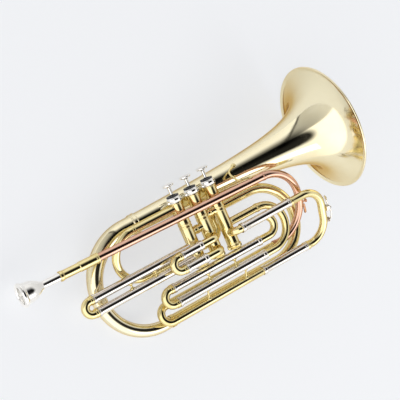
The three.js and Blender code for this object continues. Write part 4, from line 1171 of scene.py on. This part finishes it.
@dataclass
class MainSlide:
    """The main tuning slide with its water key."""

    dresser: Dresser
    upper: tuple[float, float] = (-73.3, 54.0)
    lower: tuple[float, float] = STOCK.main_lower
    upper_open: float = -148.0
    lower_open: float = -130.0
    sleeve_start: float = -246.0
    lower_start: float = STOCK.main_lower_start
    bow_x: float = -86.0
    bend: float = 34.0
    insertion: float = 85.0
    pin_down: float = -2.0
    pin_out: float = 7.4
    pin: float = 0.9
    pin_reach: float = 5.95
    ear_half: float = 4.5
    ear_side: float = 4.9
    cup_down: float = 21.0
    cup_sink: float = 0.9
    cup_top: float = 4.3
    arm: float = 1.35
    arch: tuple[tuple[float, float], ...] = ((-23.0, 3.4), (-13.0, 5.4), (-2.0, 7.8), (7.0, 10.8),
                                             (14.0, 11.2), (19.5, 9.2), (22.5, 5.6))

    @property
    def down(self) -> Array:
        """Unit direction from the upper leg to the lower leg."""
        return unit(np.array([0.0, self.lower[0] - self.upper[0], self.lower[1] - self.upper[1]]))

    @property
    def up(self) -> Array:
        """Unit direction square to the bow's plane, to the player's right."""
        return -np.cross(X, self.down)

    def place(self, down: float, out: float, across: float = 0.0) -> Array:
        """A place on the straight side of the bow: down its run, out from its wall and across."""
        middle = np.array([self.bow_x, (self.upper[0] + self.lower[0]) / 2,
                           (self.upper[1] + self.lower[1]) / 2])
        return middle + self.down * down + X * (STOCK.crook + out) + self.up * across

    @property
    def cup_place(self) -> Array:
        """The middle of the drain hole, where the bow begins to curve away."""
        return self.place(self.cup_down, -self.cup_sink)

    def outers(self) -> None:
        """Builds the two nickel sleeves and the brass elbow on the third valve."""
        for name, start, opening, (y, z) in (("upper", self.sleeve_start, self.upper_open, self.upper),
                                             ("lower", self.lower_start, self.lower_open, self.lower)):
            self.dresser.dress(f"main_{name}_sleeve", [sleeve(start, opening, y, z)], Finish.NICKEL,
                               f"main_slide_{name}_outer")
        self.dresser.dress("main_elbow",
                           [front_elbow(2, *self.upper, self.sleeve_start + STOCK.sleeve_seat)],
                           Finish.BRASS, "main_slide_elbow")

    def moving(self) -> None:
        """Builds the inner legs and the bow that carries them."""
        for name, opening, (y, z) in (("upper", self.upper_open, self.upper),
                                      ("lower", self.lower_open, self.lower)):
            leg = pipe(straight(opening - self.insertion, opening + STOCK.ring, y, z), STOCK.leg,
                       STOCK.leg_bore)
            self.dresser.dress(f"main_{name}_inner_leg", [leg], Finish.NICKEL, f"main_slide_{name}_leg",
                               body=Body.MAIN_SLIDE)
        path = bent_path([(self.upper_open + 0.3, *self.upper), (self.bow_x, *self.upper),
                          (self.bow_x, *self.lower), (self.lower_open + 0.3, *self.lower)], self.bend, 28)
        seat = STOCK.ring + STOCK.gap
        near = ferrule(0.0, seat, STOCK.crook)[1:]
        bore = [(0.0, STOCK.leg + 0.1), (seat, STOCK.leg + 0.1), (seat + 0.5, STOCK.crook - 0.8)]
        bow = hollow(path, [*near, *mirrored(near, path.length)], [*bore, *mirrored(bore, path.length)],
                     up=self.up)
        self.dresser.dress("main_bow", [bow], Finish.BRASS, "main_slide_bow", body=Body.MAIN_SLIDE)

    def key_saddle(self) -> None:
        """Builds the saddle: a floor on the bow with two ears, and the pin through them."""
        half, top = self.ear_half, self.pin_out + 2 * self.pin
        origin = self.place(0, 0)
        ear = [(self.pin_down - half, 0.3), (self.pin_down + half, 0.3), (self.pin_down + 1.8, top),
               (self.pin_down - 1.8, top)]
        floor = [(self.pin_down - half, 0.1), (self.pin_down + half, 0.1), (self.pin_down + half, 1.3),
                 (self.pin_down - half, 1.3)]
        pieces = [plate(ear, 1.2, origin + self.up * across, (self.down, X))
                  for across in (-self.ear_side, self.ear_side)]
        pieces.append(plate(floor, 11.0, origin, (self.down, X), 0.25))
        self.dresser.dress("key_saddle", pieces, Finish.NICKEL, "water_key_saddle", body=Body.MAIN_SLIDE)
        ends = [self.place(self.pin_down, self.pin_out, side) for side in (-self.pin_reach, self.pin_reach)]
        screw = rod(bent_path(ends, 0.0), self.pin, up=X)
        heads = [turned([(-0.5, 0), (-0.5, 1.5), (0.5, 1.5), (0.7, 0)], end, self.up, False, 0.25, 24)
                 for end in ends]
        self.dresser.dress("key_pin", [screw, *heads], Finish.STEEL, "water_key_pin", body=Body.MAIN_SLIDE)

    def key_lever(self) -> None:
        """Bends the lever to its thumb end, with its barrel and the cork's cup."""
        arm = rod(eased_path([self.place(*spot) for spot in self.arch]), self.arm, up=self.up)
        tip, lift = self.arch[0]
        pad = turned([(0, 0), (0, 3.0), (0.5, 4.4), (1.1, 4.4), (1.6, 3.0), (1.6, 0)],
                     self.place(tip + 2.8, lift - 0.3), X, False, 0.4, 32, Y)
        barrel = rod(bent_path([self.place(self.pin_down, self.pin_out, side) for side in (-1.3, 1.3)],
                               0.0), 2.1, up=X, sides=32)
        cup = turned(placed(self.cup_top, 0.0, (0, 0), (0, 3.7), (-0.8, 3.7), (-0.8, 4.6), (0.9, 4.6),
                            (1.7, 3.4), (1.9, 0)), self.cup_place, X, False, 0.3, 40, Y)
        self.dresser.dress("key_lever", [arm, pad, barrel, cup], Finish.NICKEL, "water_key_lever",
                           body=Body.WATER_KEY)

    def key_small(self) -> None:
        """Builds the cork, the nipple and the torsion spring."""
        cork = turned([(2.4, 0), (2.4, 3.4), (4.0, 3.4), (4.0, 0)], self.cup_place, X, False, 0.3, 36, Y)
        self.dresser.dress("key_cork", [cork], Finish.CORK, "water_key_cork", body=Body.WATER_KEY)
        nipple = turned([(-0.6, 0), (-0.6, 3.8), (0.6, 3.6), (1.0, 3.0), (2.1, 2.9), (2.1, 0)],
                        self.cup_place, X, False, 0.2, 36, Y)
        self.dresser.dress("key_nipple", [nipple], Finish.NICKEL, "water_key_nipple", body=Body.MAIN_SLIDE)
        coil = coil_path(self.place(self.pin_down, self.pin_out, 1.9), self.up, self.down, 1.9, 1.8, 2)
        self.dresser.dress("key_spring", [rod(coil, 0.3, sides=10, up=self.up)], Finish.STEEL,
                           "water_key_spring", body=Body.MAIN_SLIDE)

    def build(self) -> None:
        """Builds the whole sub-assembly."""
        self.outers()
        self.moving()
        self.key_saddle()
        self.key_lever()
        self.key_small()


@dataclass
class Valve:
    """One piston valve: casing, caps, felt, stem and button."""

    dresser: Dresser
    number: int
    top: float = 14.0
    bottom: float = -98.6
    groove: float = -31.0
    cap: float = 12.0
    felt: float = 10.2
    felt_base: float = 4.5
    felt_bore: float = 5.5
    stem: float = 2.9
    stem_foot: float = 9.3
    button: float = 9.4
    travel: float = 15.0
    ridges: int = 96
    roof_bore: float = 3.2
    floor_bore: float = 2.6
    knob_turn: float = -0.585
    knob_y: float = -57.6
    spring_ends: tuple[float, float] = (-98.0, -57.0)
    spring_radius: float = 5.6
    spring_wire: float = 0.5

    @property
    def origin(self) -> Array:
        """The valve's axis at the exit tube's height."""
        return np.array([STOCK.valve_x(self.number - 1), 0.0, STOCK.valve_plane])

    @property
    def body(self) -> Body:
        """The body of this valve's piston and button."""
        return Body(f"valve_{self.number}_piston_and_button")

    def casing(self) -> None:
        """Turns the casing with its balance line and end threads' collars, and a knob on the second."""
        outer, inner, line = STOCK.casing, STOCK.casing - 1.4, self.groove
        bands = ((self.bottom + 6.0, 1.8, 0.4), (line - 4.2, 2.0, 0.45), (line - 0.8, 1.0, -0.4),
                 (line + 1.6, 2.0, 0.45), (self.top - 7.6, 1.8, 0.5))
        rings = [mark for start, width, height in bands
                 for mark in ((start, outer), (start + 0.2, outer + height),
                              (start + width - 0.2, outer + height), (start + width, outer))]
        marks = [(self.bottom, inner), (self.bottom, outer), *rings, (self.top, outer), (self.top, inner)]
        solids = [turned(marks, self.origin, Y, soft=0.2)]
        if self.number == 2:
            way = np.array([math.sin(self.knob_turn), 0.0, math.cos(self.knob_turn)])
            rest = placed(outer, 0.0, (-0.3, 0.0), (-0.3, 3.4), (0.6, 2.6), (1.6, 2.2), (2.0, 4.0),
                          (3.3, 4.0), (3.6, 3.0), (3.2, 0.0))
            solids.append(turned(rest, self.origin + Y * self.knob_y, way, False, 0.3, 40))
        self.dresser.dress(f"casing_{self.number}", solids, Finish.BRASS, f"valve_{self.number}_casing")

    def caps(self) -> None:
        """Turns the knurled top and bottom caps."""
        skirt, cap = STOCK.casing + 0.3, self.cap
        roof = self.top + 2.5
        low = self.top - 5.3
        top = [(low, skirt), *placed(low, cap, (0, -0.5), (0.6, 0), (1.0, 0), (1.2, -0.5), (3.6, -0.5),
                                     (3.8, 0), (4.6, 0)), *placed(roof, cap, (-0.9, -0.5), (-0.2, -1.1)),
               *placed(roof, self.felt, (1.0, 0.2), (1.6, -0.4)), (roof + 1.6, self.roof_bore),
               (self.top + 0.3, self.roof_bore), (self.top + 0.3, skirt)]
        knurl = Knurl(low + 1.25, low + 3.55, self.ridges, 0.4)
        self.dresser.dress(f"top_cap_{self.number}",
                           [turned(top, self.origin, Y, soft=0.25, sides=2 * self.ridges, knurl=knurl)],
                           Finish.SILVER, f"valve_{self.number}_top_cap")
        floor = self.bottom - 2.3
        high = self.bottom + 4.1
        base = [*placed(floor, 0.0, (0, self.floor_bore), (0, 6.4), (0.3, 6.8), (0, 7.2)),
                *placed(floor, cap, (0, -1.2), (1.0, 0), (1.6, 0), (1.8, -0.5), (4.2, -0.5), (4.4, 0),
                        (5.0, 0)),
                (high, cap - 0.5), (high, skirt), (self.bottom - 0.3, skirt),
                (self.bottom - 0.3, self.floor_bore)]
        knurl = Knurl(floor + 1.85, floor + 4.15, self.ridges, 0.4)
        self.dresser.dress(f"bottom_cap_{self.number}",
                           [turned(base, self.origin, Y, soft=0.25, sides=2 * self.ridges, knurl=knurl)],
                           Finish.BRASS, f"valve_{self.number}_bottom_cap")

    def felt_washer(self) -> None:
        """Turns the felt washer on the cap."""
        low, high = self.top + self.felt_base, self.top + self.felt_base + 1.8
        marks = [(low, self.felt_bore), (low, self.felt), (high, self.felt), (high, self.felt_bore)]
        self.dresser.dress(f"felt_{self.number}", [turned(marks, self.origin, Y, soft=0.5, sides=64)],
                           Finish.FELT, f"valve_{self.number}_felt")

    def finger_button(self) -> None:
        """Turns the stem and the dished finger button."""
        foot = self.stem_foot
        under = self.top + 6.5 + self.travel
        top = under + 3.6
        marks = [(foot, 0), (foot, self.stem), (under - 1.8, self.stem), (under - 0.9, 3.9), (under, 5.2),
                 *placed(under, self.button, (0.3, -1.2), (1.0, -0.1), (1.8, 0)),
                 *placed(top, self.button, (-0.5, -0.2), (0, -1.2), (-0.3, -2.2)), (top - 0.8, 5.0),
                 (top - 0.9, 0)]
        self.dresser.dress(f"finger_button_{self.number}", [turned(marks, self.origin, Y, False, 0.5, 80)],
                           Finish.SILVER, f"valve_{self.number}_button", body=self.body)

    def spring(self) -> None:
        """Coils the hidden return spring at its full length, on a mesh of its own; nothing here shortens it
        as the piston comes down.
        """
        low, high = self.spring_ends
        foot = self.origin + Y * low
        coil = rod(coil_path(foot, Y, X, self.spring_radius, high - low, 9), self.spring_wire, sides=10,
                   up=Y)
        piece = self.dresser.dress(f"valve_spring_{self.number}", [coil], Finish.STEEL,
                                   f"valve_{self.number}_spring")
        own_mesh(piece)

    def build(self) -> None:
        """Builds the valve and finishes its hidden piston."""
        self.casing()
        self.caps()
        self.felt_washer()
        self.finger_button()
        self.dresser.keep([f"valve_{self.number}_piston"], Finish.NICKEL)
        self.spring()


@dataclass
class Knuckles:
    """The short tubes between neighbouring casings."""

    dresser: Dresser
    heights: tuple[float, float] = (-45.0, -31.0)

    def build(self) -> None:
        """Builds both, each with a ring at its middle."""
        for valve, y in enumerate(self.heights):
            ends = [(STOCK.valve_x(v), y, STOCK.valve_plane) for v in (valve, valve + 1)]
            path = bent_path(ends, 0.0)
            outer, bore = butted(path.length, STOCK.tube, STOCK.tube_bore, second=True)
            ring = ferrule((path.length - STOCK.ring) / 2, STOCK.ring, STOCK.tube)
            seat = STOCK.on_casing()
            solid = hollow(path, [*outer[:4], *ring, *outer[4:]], bore, up=Y, start=seat, end=seat)
            self.dresser.dress(f"knuckle_{valve + 1}", [solid], Finish.BRASS, f"valve_knuckle_{valve + 1}")


@dataclass
class ValveSlide:
    """A valve's slide: nickel outer legs, and a crook with nickel inner legs and a brass bow."""

    dresser: Dresser
    number: int
    opening: float
    upper: float
    pitch: float
    plane: float
    insertion: float
    braces: tuple[float, ...] = ()

    @property
    def body(self) -> Body:
        """The body of this slide's crook."""
        return Body(f"slide_{self.number}_crook")

    @property
    def runs(self) -> tuple[tuple[str, float], ...]:
        """The two legs' names and heights."""
        return ("upper", self.upper), ("lower", self.upper - self.pitch)

    def crook(self) -> None:
        """Builds the crook: its bow, and its inner legs as a piece of their own."""
        bend = self.pitch / 2
        near = self.opening - STOCK.gap
        far, low = near - 6.0 - bend, self.upper - self.pitch
        path = bent_path([(near, self.upper, self.plane), (far, self.upper, self.plane),
                          (far, low, self.plane), (near, low, self.plane)], bend, 24)
        ring = [*ferrule(0.0, STOCK.ring, STOCK.crook)[1:]]
        bore = [(0.0, STOCK.leg), (STOCK.ring, STOCK.leg), (STOCK.ring + 0.5, 5.4)]
        bow = hollow(path, [*ring, *mirrored(ring, path.length)], [*bore, *mirrored(bore, path.length)])
        self.dresser.dress(f"slide_{self.number}_bow", [bow], Finish.BRASS, f"slide_{self.number}_crook",
                           body=self.body)
        legs = [pipe(straight(near - STOCK.ring, self.opening + self.insertion, y, self.plane),
                     STOCK.leg - 0.05, STOCK.leg_bore) for y in (self.upper, low)]
        self.dresser.dress(f"slide_{self.number}_inner_legs", legs, Finish.NICKEL, body=self.body)

    def struts(self) -> list[Surface]:
        """The struts between the two outer legs."""
        low = self.upper - self.pitch
        return [strut(x, (low, self.plane, STOCK.sleeve), (self.upper, self.plane, STOCK.sleeve))
                for x in self.braces]


@dataclass
class FirstSlide(ValveSlide):
    """The first valve's slide, whose outer legs butt on the casing."""

    def build(self) -> None:
        """Builds the slide."""
        for name, y in self.runs:
            path = straight(STOCK.valve_x(0), self.opening, y, self.plane)
            mouth = mirrored(ferrule(0.0, STOCK.ring, STOCK.sleeve)[1:], path.length)
            outer, bore = butted(path.length, STOCK.sleeve, STOCK.sleeve_bore, mouth)
            leg = hollow(path, outer, bore, up=Y, start=STOCK.on_casing())
            self.dresser.dress(f"slide_1_{name}_leg", [leg], Finish.NICKEL, f"slide_1_{name}_outer")
        self.dresser.dress("slide_1_struts", self.struts(), Finish.BRASS)
        self.crook()


@dataclass
class SecondSlide(ValveSlide):
    """The second valve's slide, which stands in front of the valves on two elbows."""

    root: float = -320.0

    def build(self) -> None:
        """Builds the slide and its elbows."""
        for name, y in self.runs:
            self.dresser.dress(f"slide_2_{name}_leg", [sleeve(self.root, self.opening, y, self.plane)],
                               Finish.NICKEL, f"slide_2_{name}_outer")
            self.dresser.dress(f"slide_2_{name}_bend",
                               [front_elbow(1, y, self.plane, self.root - STOCK.sleeve_seat)], Finish.BRASS,
                               f"slide_2_{name}_elbow")
        self.crook()


@dataclass
class ThirdSlide(ValveSlide):
    """The third valve's slide, fed by two nested port tubes that turn back on themselves."""

    root: float = -212.0
    bow_x: float = -193.0
    ports: tuple[tuple[str, float, int], ...] = (("short", -78.0, 0), ("long", -60.0, 1))

    def build(self) -> None:
        """Builds the slide and its port tubes."""
        for name, y in self.runs:
            self.dresser.dress(f"slide_3_{name}_leg", [sleeve(self.root, self.opening, y, self.plane)],
                               Finish.NICKEL, f"slide_3_{name}_outer")
        self.dresser.dress("slide_3_struts", self.struts(), Finish.BRASS)
        for name, port, leg in self.ports:
            y = self.upper - leg * self.pitch
            bend = (port - y) / 2
            far, x = self.bow_x + bend, STOCK.valve_x(2)
            path = bent_path([(x, port, self.plane), (far, port, self.plane), (far, y, self.plane),
                              (self.root - STOCK.sleeve_seat, y, self.plane)], bend, 28)
            run = self.bow_x - x
            outer, bore = butted(path.length, STOCK.tube, STOCK.tube_bore,
                                 [*ferrule(run - STOCK.ring, STOCK.ring, STOCK.tube),
                                  (path.length, STOCK.tube)])
            tube = hollow(path, outer, bore, up=Z, start=Seat(STOCK.casing, tipped=True))
            self.dresser.dress(f"slide_3_{name}_port", [tube], Finish.BRASS, f"slide_3_{name}_port_tube")
        self.crook()


# Floor, lights and camera


@dataclass(frozen=True)
class Studio:
    """A plain pale floor, a pale room, one soft lamp and the photograph's viewpoint."""

    eye: tuple[float, float, float] = (-1.004512, 0.295858, 1.452474)
    turn: tuple[float, float, float] = (0.14983989, -0.64168903, -0.50738774)
    lens: float = 99.0
    sensor: float = 36.0
    nearest: float = 0.05
    floor_size: float = 1.2
    floor_tones: tuple[float, float] = (0.36, 0.86)
    floor_tint: tuple[float, float, float, float] = (0.955, 0.98, 1.03, 1)
    glow: float = 0.6
    shine: float = 0.24
    seen_level: float = 0.92
    room_tint: tuple[float, float, float, float] = (1.0, 0.99, 0.97, 1)
    lamp_place: tuple[float, float, float] = (0.25, -1.9, 1.75)
    lamp_size: tuple[float, float] = (1.8, 1.1)
    lamp_power: float = 9.0
    lamp_aim: tuple[float, float, float] = (0.0, 0.0, 0.05)
    patch_centre: tuple[float, float] = (0.06, 0.05)
    patch_size: tuple[float, float] = (0.56, 0.47)
    patch_level: float = 0.015
    patch_soft: float = 0.75
    dusk_centre: tuple[float, float] = (0.12, 0.4)
    dusk_size: tuple[float, float] = (0.5, 0.42)
    dusk_level: float = 0.2
    dusk_soft: float = 0.4
    soft_end: float = 1.2
    ends: tuple[float, float] = (1.7, 0.75)
    far_low: float = 0.5
    far_high: float = 0.36
    far_edge: float = 0.3
    far_blur: float = 0.02
    far_side: float = 0.06
    far_span: tuple[float, float] = (0.1, 0.7)
    far_rise: float = 0.2
    line_lean: float = -0.03
    line_level: float = 0.06
    line_width: float = 0.04
    line_start: tuple[float, float] = (0.1, 0.3)

    def floor(self) -> None:
        """A wide pale floor that takes soft shadows, lifted a little in the camera's own view."""
        mesh, size = bpy.data.meshes.new("floor"), self.floor_size
        corners = [(-size, -size, 0), (size, -size, 0), (size, size, 0), (-size, size, 0)]
        mesh.from_pydata(corners, [], [(0, 1, 2, 3)])
        floor = bpy.data.objects.new("floor", mesh)
        bpy.context.scene.collection.objects.link(floor)
        made, make = blank_material("pale_floor")
        out, diffuse = make("ShaderNodeOutputMaterial"), make("ShaderNodeBsdfDiffuse")
        glow, total = make("ShaderNodeEmission", Color=self.floor_tint), make("ShaderNodeAddShader")
        rays = make("ShaderNodeLightPath")
        level = make("ShaderNodeMapRange", To_Min=self.shine, To_Max=self.glow)
        shade = make("ShaderNodeMapRange", To_Min=self.floor_tones[0], To_Max=self.floor_tones[1])
        make.wire((rays, "Is Camera Ray", level, "Value"), (level, "Result", glow, "Strength"),
                  (rays, "Is Glossy Ray", shade, "Value"), (shade, "Result", diffuse, "Color"),
                  (diffuse, 0, total, 0), (glow, 0, total, 1), (total, 0, out, "Surface"))
        mesh.materials.append(made)

    def world(self) -> None:
        """A white room seen by direction (x, y, z), with a dark patch overhead, a fine dark line
        from it towards +Y, and a grey wall on the +Y side of -X.

        The patch and a dimmer oval beside it cover directions where the length of
        ((x - cx) / a, (y - cy) / b) is under 1. The wall covers x below 0 and y - far_rise z above
        its edge, and darkens as z rises. The line covers |x - lean y| near 0 for y above its start.
        The tones are multiplied together, and the whole room dims from -X to +X.
        """
        world = bpy.data.worlds.new("soft_room")
        bpy.context.scene.world = world
        world.use_nodes = True
        world.node_tree.nodes.clear()
        make = NodeBench(world.node_tree)
        out, back = make("ShaderNodeOutputWorld"), make("ShaderNodeBackground", Color=self.room_tint)
        where, split = make("ShaderNodeTexCoord"), make("ShaderNodeSeparateXYZ")
        patch = self.spot(make, where, self.patch_centre, self.patch_size, self.patch_level,
                          self.patch_soft)
        dusk = self.spot(make, where, self.dusk_centre, self.dusk_size, self.dusk_level, self.dusk_soft)
        rise, lean, apart, mask, wall, edge = (
            make("ShaderNodeMath", operation=kind)
            for kind in ("MULTIPLY_ADD", "MULTIPLY_ADD", "ABSOLUTE", "MULTIPLY", "MULTIPLY_ADD", "MAXIMUM"))
        rise.inputs[1].default_value, lean.inputs[1].default_value = -self.far_rise, -self.line_lean
        wall.inputs[2].default_value = 1.0
        above = make("ShaderNodeMapRange", From_Min=self.far_edge - self.far_blur,
                     From_Max=self.far_edge + self.far_blur)
        beside = make("ShaderNodeMapRange", From_Min=0.0, From_Max=-self.far_side)
        deeper = make("ShaderNodeMapRange", From_Min=self.far_span[0], From_Max=self.far_span[1],
                      To_Min=self.far_low - 1.0, To_Max=self.far_high - 1.0)
        line = make("ShaderNodeMapRange", From_Min=self.line_width / 2, From_Max=self.line_width,
                    To_Min=self.line_level)
        ahead = make("ShaderNodeMapRange", From_Min=self.line_start[1], From_Max=self.line_start[0])
        end = make("ShaderNodeMapRange", From_Min=-1.0, From_Max=1.0, To_Min=self.ends[0],
                   To_Max=self.ends[1])
        seen = make("ShaderNodeMix", data_type="FLOAT", B=self.seen_level)
        make.wire((where, "Generated", split, 0), (split, "Z", rise, 0), (split, "Y", rise, 2),
                  (split, "Y", lean, 0), (split, "X", lean, 2), (rise, 0, above, "Value"),
                  (split, "X", beside, "Value"), (split, "Z", deeper, "Value"), (above, "Result", mask, 0),
                  (beside, "Result", mask, 1), (mask, 0, wall, 0), (deeper, "Result", wall, 1),
                  (lean, 0, apart, 0), (apart, 0, line, "Value"), (split, "Y", ahead, "Value"),
                  (line, "Result", edge, 0), (ahead, "Result", edge, 1), (split, "X", end, "Value"))
        total, output = patch, "Result"
        for factor, tone in ((dusk, "Result"), (wall, 0), (edge, 0), (end, "Result")):
            times = make("ShaderNodeMath", operation="MULTIPLY")
            make.wire((total, output, times, 0), (factor, tone, times, 1))
            total, output = times, 0
        make.wire((total, output, seen, "A"),
                  (make("ShaderNodeLightPath"), "Is Camera Ray", seen, "Factor"),
                  (seen, 0, back, "Strength"), (back, 0, out, "Surface"))

    def spot(self, make: NodeBench, where: bpy.types.Node, centre: tuple[float, float],
             size: tuple[float, float], level: float, soft: float) -> bpy.types.Node:
        """A dim oval overhead: its level inside, 1 outside, with a smooth edge between.

        Args:
            make: the world's bench.
            where: the node of the direction looked in.
            centre: x and y of the oval's middle.
            size: its half widths.
            level: its tone.
            soft: the share of its size where the edge begins.

        Returns:
            The node whose Result is the tone.
        """
        offset = make("ShaderNodeVectorMath", operation="MULTIPLY_ADD")
        reach = make("ShaderNodeVectorMath", operation="LENGTH")
        offset.inputs[1].default_value = (1 / size[0], 1 / size[1], 0)
        offset.inputs[2].default_value = (-centre[0] / size[0], -centre[1] / size[1], 0)
        tone = make("ShaderNodeMapRange", interpolation_type="SMOOTHSTEP", From_Min=soft,
                    From_Max=self.soft_end, To_Min=level)
        make.wire((where, "Generated", offset, 0), (offset, 0, reach, 0), (reach, "Value", tone, "Value"))
        return tone

    def lamp(self) -> None:
        """Hangs one soft panel lamp over the near side."""
        data = bpy.data.lights.new("near_side", "AREA")
        data.shape, data.size, data.size_y, data.energy = "RECTANGLE", *self.lamp_size, self.lamp_power
        lamp = bpy.data.objects.new("near_side", data)
        lamp.location = self.lamp_place
        aim = Vector(self.lamp_aim) - Vector(self.lamp_place)
        lamp.rotation_euler = aim.to_track_quat("-Z", "Y").to_euler()
        bpy.context.scene.collection.objects.link(lamp)

    def camera(self) -> None:
        """Stands the camera at the photograph's viewpoint."""
        data = bpy.data.cameras.new("view")
        data.lens, data.sensor_width, data.clip_start = self.lens, self.sensor, self.nearest
        camera = bpy.data.objects.new("view", data)
        camera.location = self.eye
        camera.rotation_euler = Euler(self.turn, "XYZ")
        bpy.context.scene.collection.objects.link(camera)
        bpy.context.scene.camera = camera

    def build(self) -> None:
        """Sets up the whole studio."""
        bpy.context.scene.view_settings.view_transform = "Standard"
        self.floor()
        self.world()
        self.lamp()
        self.camera()


def main() -> None:
    """Builds the instrument's sub-assemblies in order, then the studio."""
    logging.basicConfig(level=logging.INFO, format="%(message)s")
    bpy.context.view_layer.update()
    Studio().build()
    dresser = Dresser()
    lead = LeadSide(dresser)
    lead.build()
    BellTail(dresser).build(lead)
    MainSlide(dresser).build()
    for number in (1, 2, 3):
        Valve(dresser, number).build()
    Knuckles(dresser).build()
    FirstSlide(dresser, 1, opening=-510.0, upper=-65.2, pitch=20.8, plane=33.0, insertion=110.0,
               braces=(-445.0, -400.0)).build()
    SecondSlide(dresser, 2, opening=-360.0, upper=-66.0, pitch=21.6, plane=56.0, insertion=24.0).build()
    ThirdSlide(dresser, 3, opening=-385.0, upper=-110.0, pitch=24.0, plane=33.0, insertion=130.0,
               braces=(-320.0, -268.0)).build()
    LOG.info("%d pieces made", dresser.made)


if __name__ == "__main__":
    main()
